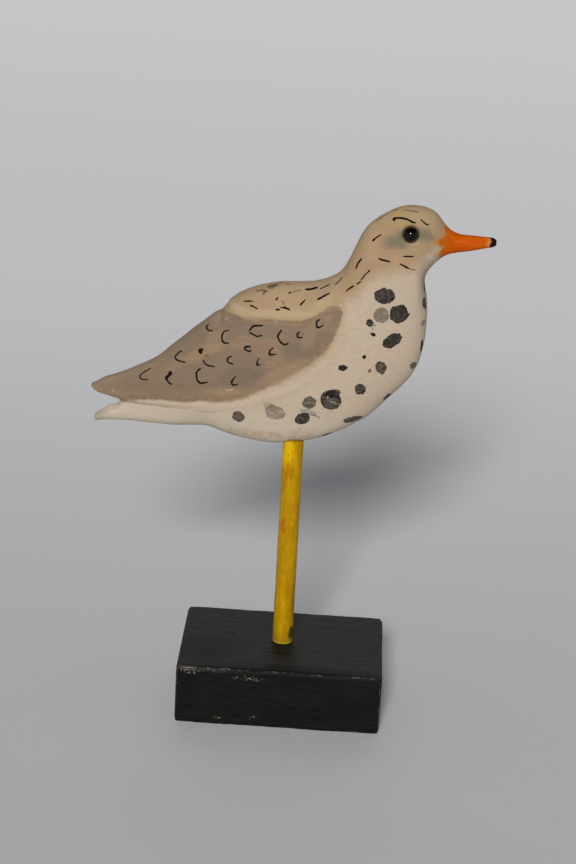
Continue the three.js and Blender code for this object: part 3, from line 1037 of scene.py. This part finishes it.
# %% [markdown]
# ## A small language for shaders
#
# A material is a net of nodes, and its maths reads best as plain sums. Signal wraps one socket,
# so that a sum or a comparison of two signals adds the Math node for it. Paint holds one
# material and adds every other kind of node by one method. Its method over lays coats of colour
# on one another, as the painter did.

# %% Signals and paints
MIX_SHARE, MIX_FIRST, MIX_SECOND, MIX_RESULT = 0, 6, 7, 2


class Signal:
    """One output socket of a material, usable in Python sums."""

    def __init__(self, paint, socket):
        self.paint = paint
        self.socket = socket

    def __add__(self, other):
        return self.paint.sum("ADD", self, other)

    def __radd__(self, other):
        return self.paint.sum("ADD", other, self)

    def __sub__(self, other):
        return self.paint.sum("SUBTRACT", self, other)

    def __rsub__(self, other):
        return self.paint.sum("SUBTRACT", other, self)

    def __mul__(self, other):
        return self.paint.sum("MULTIPLY", self, other)

    def __rmul__(self, other):
        return self.paint.sum("MULTIPLY", other, self)

    def __truediv__(self, other):
        return self.paint.sum("DIVIDE", self, other)

    def __abs__(self):
        return self.paint.sum("ABSOLUTE", self)


class Paint:
    """One material's nodes."""

    def __init__(self, name, **shader):
        self.material = bpy.data.materials.new(name)
        self.material.use_nodes = True
        self.nodes = self.material.node_tree.nodes
        self.links = self.material.node_tree.links
        self.shader = self.nodes["Principled BSDF"]
        for socket, value in shader.items():
            self.shader.inputs[socket.replace("_", " ")].default_value = value

    def feed(self, socket, value):
        """Links a signal to a socket, or sets a plain value on it."""
        if isinstance(value, Signal):
            self.links.new(value.socket, socket)
        elif value is not None:
            socket.default_value = value

    def node(self, kind, settings, sockets, output=0):
        """Adds a node: its settings, then its sockets' values or links, by name or number."""
        node = self.nodes.new("ShaderNode" + kind)
        for name, value in settings.items():
            setattr(node, name, value)
        for name, value in sockets.items():
            self.feed(node.inputs[name], value)
        return Signal(self, node.outputs[output])

    def sum(self, operation, *values):
        """One step of maths on numbers."""
        return self.node("Math", {"operation": operation}, dict(enumerate(values)))

    def vector(self, operation, first, second=None, scale=None):
        """A sum with vectors. Lengths and dot products come out as numbers."""
        output = "Value" if operation in ("LENGTH", "DOT_PRODUCT") else "Vector"
        sockets = {0: first, 1: second, 3: scale}
        return self.node("VectorMath", {"operation": operation}, sockets, output)

    def step(self, value, low, high):
        """0 at low, 1 at high and smooth between them. low may be the larger."""
        return self.node("MapRange", {"interpolation_type": "SMOOTHSTEP"},
                         {"Value": value, "From Min": low, "From Max": high})

    def mix(self, share, first, second):
        """The first colour where share is 0 and the second where it is 1."""
        sockets = {MIX_SHARE: share, MIX_FIRST: first, MIX_SECOND: second}
        return self.node("Mix", {"data_type": "RGBA"}, sockets, MIX_RESULT)

    def over(self, colour, *coats):
        """Lays coats over a colour. Each is the share that it covers and its own colour."""
        for share, shade in coats:
            colour = self.mix(share, colour, shade)
        return colour

    def place(self):
        """Where on the piece a spot lies, in metres."""
        return self.node("TexCoord", {}, {}, "Object")

    def upward(self):
        """1 on level tops, 0 on upright sides and -1 underneath."""
        return self.split(self.node("NewGeometry", {}, {}, "Normal"))[2]

    def stored(self, name):
        """An attribute's vector."""
        return self.node("Attribute", {"attribute_name": name}, {}, "Vector")

    def split(self, vector):
        """The three numbers of a vector."""
        first = self.node("SeparateXYZ", {}, {0: vector})
        return [Signal(self, socket) for socket in first.socket.node.outputs]

    def stretched(self, along, shift=(0, 0, 0)):
        """The object's coordinates, drawn out along some axes."""
        return self.node("Mapping", {}, {"Vector": self.place(), "Scale": along, "Location": shift})

    def noise(self, size, detail=2.0, where=None, rough=0.5):
        """Noise about 0.5 whose lumps are about this many millimetres across."""
        where = where or self.place()
        return self.node("TexNoise", {}, {
            "Vector": where, "Scale": 1 / (size * MM), "Detail": detail, "Roughness": rough})

    def bump(self, height, depth):
        """Feeds a bump that is this many millimetres deep to the shader."""
        normal = self.node("Bump", {}, {"Height": height, "Distance": depth * MM, "Strength": 1.0})
        self.feed(self.shader.inputs["Normal"], normal)

    def coat(self, pieces, colour, roughness=None):
        """Feeds colour and roughness to the shader and puts the material on the pieces."""
        self.feed(self.shader.inputs["Base Color"], colour)
        self.feed(self.shader.inputs["Roughness"], roughness)
        for piece in pieces:
            piece.data.materials.clear()
            piece.data.materials.append(self.material)
        print(self.material.name, "has", len(self.nodes), "nodes")


def sway(noise, width):
    """A noise that swings round 0, over this width in all."""
    return (noise - 0.5) * width


# %% [markdown]
# ## Colours
#
# The colours are written as they look in the soft light, from 0 to 255. The lamp shows a surface
# that faces it a tenth brighter than its paint, so the paint itself is mixed that much darker.

# %% Colours as seen
IN_THE_LIGHT = 1.10


def linear(value):
    """A colour value from 0 to 255 as the amount of light that it stands for."""
    v = value / 255
    return v / 12.92 if v <= 0.04045 else ((v + 0.055) / 1.055) ** 2.4


def seen(*values):
    """The paint that looks like this red, green and blue in the light."""
    return tuple(min(linear(value) / IN_THE_LIGHT, 1.0) for value in values) + (1.0,)


# %% [markdown]
# ## The bird's paint
#
# The bird is painted in matte colours, one over another: cream all over, a warm tan wash on
# head, neck and back, grey-brown on the wings, orange on the bill, and black dabs and lines on
# top. The shader puts them on in the same order. It starts with the noises that fray every edge
# and with the numbers that the mesh stores.

# %% Bird's paint: noises and stored numbers
paint = Paint("bird_paint", Specular_IOR_Level=0.08)
brushed = paint.noise(2.2, 3, paint.stretched((0.3, 1, 1)))
blotchy = paint.noise(16, 3)
fine = paint.noise(1.1, 3)
ragged = paint.noise(3.2, 4, rough=0.6)
mottle = paint.noise(1.9, 4, rough=0.65)

tan_area, wing_area, from_crease = paint.split(paint.stored("areas"))
grey_dab, dark_dab, light_dab = paint.split(paint.stored("dabs"))
bill, bill_tip, along_bird = paint.split(paint.stored("bill"))
smudge, tint, from_eye = paint.split(paint.stored("face"))
pale, thin_edge, painted_shade = paint.split(paint.stored("soft"))
cove_highlight, stained, _ = paint.split(paint.stored("highlight_and_stain"))
height = paint.split(paint.place())[2]
print("noises and numbers:", len(paint.nodes), "nodes")

# %% Bird's paint: cream and tan
BELLY_LIGHT_FROM, BELLY_LIGHT_TO = 0.198, 0.170
SPECKS_FROM, SPECKS_TO = 0.190, 0.168
bristles = paint.noise(1.2, 4, paint.stretched((0.4, 1, 0.8), (0.5, 0, 0)), rough=0.6)
hue = paint.noise(7, 3, paint.stretched((0.45, 1, 1), (0.3, 0, 0)))
specks = paint.step(fine, 0.64, 0.72) * paint.step(ragged, 0.40, 0.62)
specks = specks * (paint.step(height, SPECKS_FROM, SPECKS_TO) * 0.45 + 0.12)
cream = paint.over(
    seen(191, 172, 151),
    (paint.step(blotchy, 0.38, 0.64), seen(189, 173, 153)),
    (paint.step(brushed, 0.3, 0.8) * 0.18, seen(178, 157, 130)),
    # Painted light: the cream is mixed paler towards the belly, for the light thrown up from the
    # floor.
    (paint.step(height, BELLY_LIGHT_FROM, BELLY_LIGHT_TO), seen(202, 189, 170)),
    (paint.step(bristles, 0.50, 0.72) * 0.35, seen(174, 152, 122)),
    (paint.step(bristles, 0.46, 0.30) * 0.30, seen(200, 184, 164)),
    (specks, seen(128, 104, 76)),
    (stained * paint.step(ragged, 0.30, 0.62) * 0.5, seen(158, 124, 72)),
)
tan = paint.over(
    seen(165, 138, 107),
    (paint.step(blotchy, 0.35, 0.65), seen(171, 145, 112)),
    (paint.step(brushed, 0.35, 0.75) * 0.4, seen(159, 132, 102)),
    (paint.step(hue, 0.52, 0.66) * 0.45, seen(176, 142, 117)),
    (paint.step(hue, 0.46, 0.34) * 0.45, seen(165, 144, 102)),
    # Painted highlight: the tan is paler along the hollow above the wing, where its lower slope
    # catches the light.
    (cove_highlight * 0.55, seen(190, 169, 138)),
)
tan_cover = paint.step(tan_area + sway(blotchy, 9) + sway(brushed, 2), -6.0, 6.0)
# Painted shade: grey patches darken throat, chin, the wing's rear edge, the tail's tip and the
# neck's root.
colour = paint.over(cream, (tan_cover, tan), (painted_shade * 0.5, seen(132, 120, 106)))
print("cream and tan:", len(paint.nodes), "nodes")

# %% [markdown]
# ## The wing's paint
#
# The wing is beige with patches of grey, darker and lighter paint, whose borders wander with the
# noises. Round it the paint thins out into a warm halo, which is partly painted shade of the
# groove in front of the wing, and its lower edge is frayed and dotted with flecks. The crease
# under it is painted darker, as painted shade. Last, what faces up is painted a little lighter,
# as a painted highlight from the light above, which is read from the direction of the surface.

# %% Bird's paint: the wing
grey = paint.mix(paint.step(blotchy, 0.35, 0.65), seen(129, 113, 95), seen(124, 107, 92))
wander = sway(ragged, 4) + sway(blotchy, 6) + sway(brushed, 2)
flecks = paint.step(paint.noise(2.0, 4, paint.stretched((0.5, 1, 1), (0.1, 0, 0))), 0.66, 0.74)
frayed = paint.step(mottle, 0.46, 0.60) * paint.step(abs(wing_area - 1.6), 2.2, 0.8)
wing_colour = paint.over(
    seen(147, 123, 100),
    (paint.step(brushed, 0.3, 0.7), seen(138, 115, 94)),
    (paint.step(grey_dab + wander, -1.2, 1.6) * 0.68, grey),
    (paint.step(dark_dab + wander, -1.0, 1.8) * 0.42, seen(119, 103, 86)),
    (paint.step(light_dab + wander * 0.8, -0.8, 1.8) * 0.45, seen(158, 133, 103)),
    (paint.step(along_bird, -20, -36) * 0.6, seen(130, 112, 91)),
    (flecks * paint.step(wing_area, 8.0, 1.0) * 0.55, seen(184, 158, 118)),
    (frayed * paint.step(along_bird, -12, -24) * 0.4, seen(104, 88, 74)),
)
inside = wing_area + sway(ragged, 2.6) + sway(brushed, 1.5)
# Partly thin paint and partly painted shade: a warm halo round the wing, wider in front, where a
# groove runs along its edge.
halo = paint.step(inside, -3.6 * paint.step(along_bird, -8, 6) - 1.2, 0.6)
body = paint.step(inside, -0.5 - thin_edge, 0.8 + thin_edge * 1.4)
# Painted shade: the crease under the wing is darkened along its line.
crease = paint.step(abs(from_crease + sway(mottle, 0.5)), 0.65, 0.1)
crease = crease * paint.step(along_bird, -12, -20) * paint.step(brushed, 0.25, 0.50)
colour = paint.over(
    colour,
    (halo * 0.65, seen(175, 150, 116)),
    (body, wing_colour),
    (crease * 0.42, seen(120, 108, 92)),
    # Painted highlight: what faces up is mixed a little lighter, for the light from above.
    (paint.step(paint.upward(), 0.25, 0.95) * 0.17, seen(214, 192, 158)),
)
print("with the wing:", len(paint.nodes), "nodes")

# %% [markdown]
# ## Face and bill
#
# The soft spots tint the face, and a dark ring holds the bead. The orange of the bill was brushed
# along it, so its streaks are drawn out lengthwise. It is thin at the root, where it ends in
# ragged strokes, and worn pale just before the black tip.

# %% Bird's paint: face and bill
BILL_BLACK = (0.004, 0.006, 0.006, 1.0)
bill_streaks = paint.noise(1.6, 3, paint.stretched((0.12, 1, 1)))
orange = paint.over(
    seen(196, 76, 0),
    (paint.step(bill_streaks, 0.35, 0.7), seen(196, 92, 2)),
    (paint.step(along_bird + sway(bill_streaks, 6), 49, 53) * 0.5, seen(206, 112, 8)),
    (paint.step(bill + sway(fine, 3), 5.0, 0.0) * 0.7, seen(190, 104, 24)),
)
smeared = paint.step(bill + sway(bill_streaks, 5) + sway(ragged, 4), -3.0, 0.4)
bill_cover = paint.step(bill + sway(ragged, 2.6) + sway(bill_streaks, 2.0), -1.2, 0.7)
near_tip = paint.step(bill_tip + sway(ragged, 3.0), -3.6, -0.6) * paint.step(fine, 0.34, 0.62)
colour = paint.over(
    colour,
    (smudge * 0.9, seen(116, 111, 91)),
    (pale * 0.75, seen(190, 176, 154)),
    (tint * 0.5, seen(172, 150, 86)),
    (paint.step(from_eye + sway(fine, 1.0), 5.4, 4.2) * 0.45, seen(84, 78, 70)),
    (paint.step(from_eye, 4.4, 4.05), seen(22, 18, 16)),
    (smeared * 0.45, seen(186, 126, 58)),
    (bill_cover, orange),
    (near_tip * 0.6, seen(212, 160, 92)),
    (paint.step(bill_tip + sway(ragged, 0.8), -0.25, 0.25), BILL_BLACK),
)
print("with face and bill:", len(paint.nodes), "nodes")

# %% [markdown]
# ## The marks' outlines
#
# The same few lines draw every mark of one kind, from its numbers. A dab's rim is ragged and
# darker than its middle, because thin paint gathers there. A stroke covers what lies within
# the brush's width of its curve, a little more or less as the hand pressed.

# %% Bird's paint: spots
streaks = paint.noise(1.3, 3, paint.stretched((0.35, 1, 1), (0.2, 0, 0)))
teeth = paint.noise(0.9, 2)
BLACK = (0.007, 0.007, 0.007, 1.0)
THIN_BLACK = (0.028, 0.027, 0.024, 1.0)
for layer in range(spot_layers):
    place = paint.stored(f"spot_place_{layer}")
    here = paint.split(paint.stored(f"spot_reach_{layer}"))[0]
    tone, streaky, size = paint.split(paint.stored(f"spot_traits_{layer}"))
    rim_gap = (paint.vector("LENGTH", place) - 1) * size
    rim_gap = rim_gap + sway(ragged, 2.6) + sway(teeth, 1.1)
    cover = paint.step(rim_gap, 0.15, -0.20)
    rim = paint.step(rim_gap, -0.95, -0.25)
    thin = paint.step(mottle, 0.42, 0.66)
    holes = thin * (1.03 - tone) * 0.7 + paint.step(streaks, 0.44, 0.62) * streaky * 0.3
    cover = cover * paint.step(here, 0.9, 1.0) * tone * (1 - holes * (1 - rim * 0.7))
    solid = paint.sum("MAXIMUM", paint.step(size, 2.4, 1.6), paint.sum("MAXIMUM", 1 - thin, rim))
    dab = paint.mix(solid, THIN_BLACK, BLACK)
    dab = paint.mix(paint.step(streaky, -0.2, -0.6), dab, seen(205, 190, 164))
    colour = paint.mix(cover, colour, dab)

# %% Bird's paint: brush strokes
INK = (0.004, 0.003, 0.003, 1.0)
WATERY_INK = seen(84, 62, 52)
pressed = paint.noise(2.0, 2)
SHAKE_SIZE = 1.8
SHAKE = 0.7
shaky = paint.node("TexNoise", {}, {
    "Vector": paint.place(), "Scale": 1 / (SHAKE_SIZE * MM), "Detail": 2.0}, "Color")
shaky = paint.vector("SCALE", paint.vector("SUBTRACT", shaky, (0.5, 0.5, 0.5)), scale=SHAKE)
for layer in range(stroke_layers):
    place = paint.stored(f"stroke_place_{layer}")
    share = paint.split(place)[2]
    here, gap, _ = paint.split(paint.stored(f"stroke_reach_{layer}"))
    half, tone, _ = paint.split(paint.stored(f"stroke_traits_{layer}"))
    place = paint.vector("MULTIPLY", paint.vector("ADD", place, shaky), (1, 1, 0))
    off_line = paint.vector("LENGTH", place)
    swell = share * (1 - share) * 4
    wide = half * (0.62 + 0.5 * pressed + 0.22 * swell) + 0.12
    cover = paint.step(off_line + sway(teeth, 0.25), wide + 0.10, wide - 0.14)
    cover = cover * paint.step(here, 0.9, 1.0) * paint.step(gap, 1.3, 1.0)
    ink = paint.mix(paint.step(tone, 0.5, 0.9), WATERY_INK, INK)
    colour = paint.mix(cover * paint.step(tone, 0.0, 0.90), colour, ink)

# %% Bird's paint: surface
BRUSH_RELIEF = 0.14
paint.bump(brushed * 0.6 + fine * 0.4 + mottle * 0.5, BRUSH_RELIEF)
paint.coat([bird], colour, paint.step(brushed, 0.2, 0.8) * 0.16 + 0.62)

# %% [markdown]
# ## The eyes' glass
#
# Black glass needs no pattern to look right, only a very smooth surface. A bead that has been
# handled for years has faint dust and smears, which show as a slight change of roughness.

# %% Glass
CLEAN_GLASS = (0.002, 0.0015, 0.0015, 1.0)
DUSTY_GLASS = (0.006, 0.004, 0.004, 1.0)
glass = Paint("black_glass", IOR=1.52, Specular_IOR_Level=0.24)
smear = glass.noise(3.0, 3)
glass_colour = glass.mix(glass.step(smear, 0.4, 0.7), CLEAN_GLASS, DUSTY_GLASS)
glass.coat(eyes, glass_colour, glass.step(smear, 0.3, 0.8) * 0.05 + 0.03)

# %% [markdown]
# ## The leg's paint
#
# The dowel was brushed lengthwise with a strong yellow that lies thin in places, so that ochre
# streaks, orange mottling and an orange smudge show. At its foot black from the block has been
# smeared into it, and a thin dark line where it enters the block is painted shade. Where it
# meets the belly a darker band is painted shade, and a brighter patch just below is painted
# light. A patch is an ellipsoid on the side that the photographer sees, whose edge the streaks
# of the brush fray.

# %% Leg paint: yellow and its streaks
LEG_PATCH_DEPTH = 1.5
# Middle, width and height in the photograph, and the colour
LEG_PATCHES = [
    (283.5, 527, 7, 22, seen(166, 86, 0)),
    (291.5, 470, 5, 34, seen(150, 106, 4)),
    (287.5, 590, 6, 30, seen(162, 114, 2)),
    # Painted light: a brighter patch near the leg's top, just under the belly.
    (284.5, 452, 26, 50, seen(228, 184, 4)),
    (288.0, 469, 5, 20, seen(176, 112, 2)),
    (286.0, 478, 4, 16, seen(170, 104, 2)),
    (298.0, 452, 5, 16, seen(180, 134, 4)),
    (293.5, 602, 8, 60, seen(138, 106, 14)),
]


def patch(paint, middle, size):
    """0 in the middle of an ellipsoid and 1 on its surface, both given in millimetres."""
    local = paint.node("Mapping", {"vector_type": "TEXTURE"}, {
        "Vector": paint.place(),
        "Location": [v * MM for v in middle],
        "Scale": [v * MM for v in size],
    })
    return paint.vector("LENGTH", local)


yellow = Paint("leg_paint", Specular_IOR_Level=0.09)
lengthwise = yellow.noise(2.4, 3, yellow.stretched((1, 1, 0.09)))
patchy = yellow.noise(22, 3, yellow.stretched((1, 1, 0.6)))
leg_colour = yellow.over(
    seen(186, 146, 0),
    (yellow.step(lengthwise, 0.35, 0.68), seen(172, 130, 0)),
    (yellow.step(patchy, 0.50, 0.68) * 0.5, seen(164, 118, 2)),
)
for px, py, width, height, shade in LEG_PATCHES:
    size = (width / 2 * PHOTO_PIXEL, leg_radius * LEG_PATCH_DEPTH, height / 2 * PHOTO_PIXEL)
    off = patch(yellow, crossing(px, py, 1, -leg_radius), size)
    frayed_in = yellow.step(off + sway(lengthwise, 0.9), 1.15, 0.35)
    leg_colour = yellow.mix(frayed_in * 0.75, leg_colour, shade)

# %% Leg paint: foot and top
FOOT_SMEAR_AT = (292.2, 633.5)
FOOT_SMEAR_SIZE = (2.6, 5.0, 5.0)
leg_height = yellow.split(yellow.place())[2] / MM
above_block = leg_height - block_top
flaky = yellow.noise(1.4, 4, rough=0.65)
mottled = yellow.noise(2.2, 4, yellow.stretched((1, 1, 0.45)), rough=0.65)
foot_smear = patch(yellow, crossing(*FOOT_SMEAR_AT, 1, -leg_radius * 0.8), FOOT_SMEAR_SIZE)
shade_under_belly = yellow.step(leg_height + sway(flaky, 1.2), BELLY + 1.6, BELLY + 2.8)
leg_colour = yellow.over(
    leg_colour,
    (yellow.step(mottled, 0.52, 0.64) * 0.42, seen(172, 108, 2)),
    (yellow.step(mottled, 0.44, 0.34) * 0.40, seen(214, 172, 34)),
    (yellow.step(above_block + sway(flaky, 8), 9.0, 1.0) * 0.45, seen(128, 104, 34)),
    (yellow.step(foot_smear + sway(flaky, 2.4), 1.05, 0.8) * 0.9, seen(34, 40, 16)),
    # Painted shade: a darker band where the leg meets the belly.
    (shade_under_belly * 0.6, seen(112, 78, 12)),
    (yellow.step(above_block + sway(flaky, 0.5), 1.5, 1.0) * 0.8, seen(168, 160, 44)),
    # Painted shade: a thin dark line where the leg enters the block.
    (yellow.step(above_block, 0.5, 0.2), seen(20, 20, 12)),
)
yellow.bump(lengthwise, 0.10)
yellow.coat([leg], leg_colour, yellow.step(lengthwise, 0.3, 0.7) * 0.15 + 0.40)

# %% [markdown]
# ## The block's paint
#
# The block was painted black with a wide brush along its length. Its top catches the light,
# which is painted as a charcoal sheen between the brush's streaks, and it carries darker drops
# and patches and a darker strip along its front edge. Its edges are worn grey, and a few bare
# specks in front show the wood. How far each point lies from the nearest edge is stored on the
# mesh, because wear follows the edges.

# %% Block paint: black with streaks
BLACK_PAINT = (0.0045, 0.0043, 0.0040, 1.0)
THIN_PAINT = (0.0090, 0.0086, 0.0078, 1.0)
FLAT_BLACK = (0.004, 0.004, 0.004, 1.0)
FRONT_STRIP_BLACK = (0.005, 0.005, 0.004, 1.0)
SHEEN_CHARCOAL = (0.032, 0.0300, 0.0278, 1.0)
# Middle in the photograph, size in millimetres, colour and strength of each patch on the top
DROPS = [
    (231.0, 633.0, (5.0, 4.0, 3), FLAT_BLACK, 0.8),
    (211.0, 649.0, (5.0, 3.4, 3), FLAT_BLACK, 0.8),
    (326.0, 628.0, (6.0, 3.0, 3), (0.005, 0.005, 0.005, 1.0), 0.6),
    (206.0, 648.0, (26.0, 22.0, 3), (0.006, 0.006, 0.005, 1.0), 0.8),
    # A darker strip along the top's front edge
    (290.0, 669.0, (62.0, 7.0, 3), FRONT_STRIP_BLACK, 0.85),
    (286.0, 648.0, (9.0, 22.0, 3), (0.006, 0.005, 0.003, 1.0), 0.5),
]
black = Paint("block_paint", Specular_IOR_Level=0.09)
combed = black.noise(1.1, 4, black.stretched((0.09, 1, 1)), rough=0.6)
clouded = black.noise(24, 3, black.stretched((0.5, 1, 1)))
scuffed = black.noise(2.2, 4, black.stretched((0.35, 1, 1)), rough=0.65)
sheen_on_top = black.step(black.upward(), 0.5, 0.9)
block_colour = black.over(
    BLACK_PAINT,
    (black.step(combed, 0.35, 0.70), THIN_PAINT),
    (black.step(clouded, 0.46, 0.64) * 0.6, FLAT_BLACK),
    # Painted sheen: the top is mixed charcoal between the brush's streaks, where it catches the
    # light.
    (sheen_on_top * (black.step(combed, 0.38, 0.66) * 0.9 + 0.04), SHEEN_CHARCOAL),
)
for px, py, size, shade, strength in DROPS:
    off = patch(black, crossing(px, py, 2, block_top), size)
    cover = black.step(off + sway(scuffed, 1.2), 1.1, 0.5) * strength
    block_colour = black.mix(cover, block_colour, shade)

# %% Block paint: wear
# Middle in the photograph and size in millimetres of each bare place in front
BARE_SPECKS = [
    (189.0, 671.0, (8.5, 3, 2.6)),
    (248.0, 678.5, (11.0, 3, 1.8)),
    (216.0, 716.5, (4.0, 3, 1.6)),
    (251.0, 717.5, (5.0, 3, 1.6)),
    (354.5, 733.5, (2.4, 3, 1.4)),
]
RUBBED_AT = (204.0, 669.8)
RUBBED_SIZE = (17.0, 3, 2.0)
edge_gap = block.data.attributes.new("edge_gap", "FLOAT", "POINT")
edge_gap.data.foreach_set("value", to_edge_of(points_of(block)).astype(np.float32))
gap = black.node("Attribute", {"attribute_name": "edge_gap"}, {}, "Fac")
scratched = black.noise(0.8, 3, black.stretched((0.6, 1, 1)), rough=0.6)
grit = black.noise(1.3, 3)
specks = [black.step(patch(black, crossing(px, py, 1, -half_width), size), 1.3, 0.3)
          for px, py, size in BARE_SPECKS]
bare = specks[0]
for speck in specks[1:]:
    bare = black.sum("MAXIMUM", bare, speck)
worn = black.step(gap + (scuffed - 0.30) * 9.0, 1.3, 0.3)
beside_line = abs(gap - 0.9 + sway(scuffed, 3.0))
scraped = black.step(beside_line, 0.42, 0.12) * black.step(grit, 0.46, 0.60)
rubbed = patch(black, crossing(*RUBBED_AT, 1, -half_width), RUBBED_SIZE)
rubbed = black.step(rubbed + sway(scuffed, 2.2), 1.1, 0.4) * black.step(grit, 0.40, 0.62)
flaked = black.step(scratched + bare * 0.10 + sway(grit, 0.25), 0.64, 0.70)
flaked = flaked * black.step(bare, 0.1, 0.5)
lines = black.step(beside_line, 0.75, 0.25) * black.step(bare, 0.1, 0.6)
bare_wood = black.sum("MAXIMUM", flaked * 0.6, lines * 0.65)
block_colour = black.over(
    block_colour,
    (worn * 0.42, seen(108, 104, 98)),
    (scraped * 0.45, seen(110, 104, 98)),
    (rubbed * 0.34, seen(98, 95, 90)),
    (bare_wood, seen(138, 130, 120)),
)
black.bump(combed * 0.7 + scuffed * 0.3, 0.22)
black.coat([block], block_colour, black.step(combed, 0.3, 0.7) * 0.12 + 0.52)

# %% [markdown]
# ## The paper floor
#
# The paper is plain and nearly even. Its colour darkens slowly towards the viewer, which a ramp
# along its depth gives, and it is palest far behind: painted light and shade, for how the light
# falls on the curved sweep of paper.

# %% Floor paint
NEAR_PAPER = (0.615, 0.618, 0.640, 1.0)
PAPER = (0.83, 0.835, 0.870, 1.0)
FAR_PAPER = (0.93, 0.935, 0.965, 1.0)
paper = Paint("paper", Roughness=0.9)
depth = paper.split(paper.place())[1]
# Painted light and shade: the paper is mixed darker near the viewer and paler far behind.
paper.coat([floor], paper.over(
    NEAR_PAPER,
    (paper.step(depth, -0.1, 1.0), PAPER),
    (paper.step(depth, 0.9, 2.8), FAR_PAPER),
))
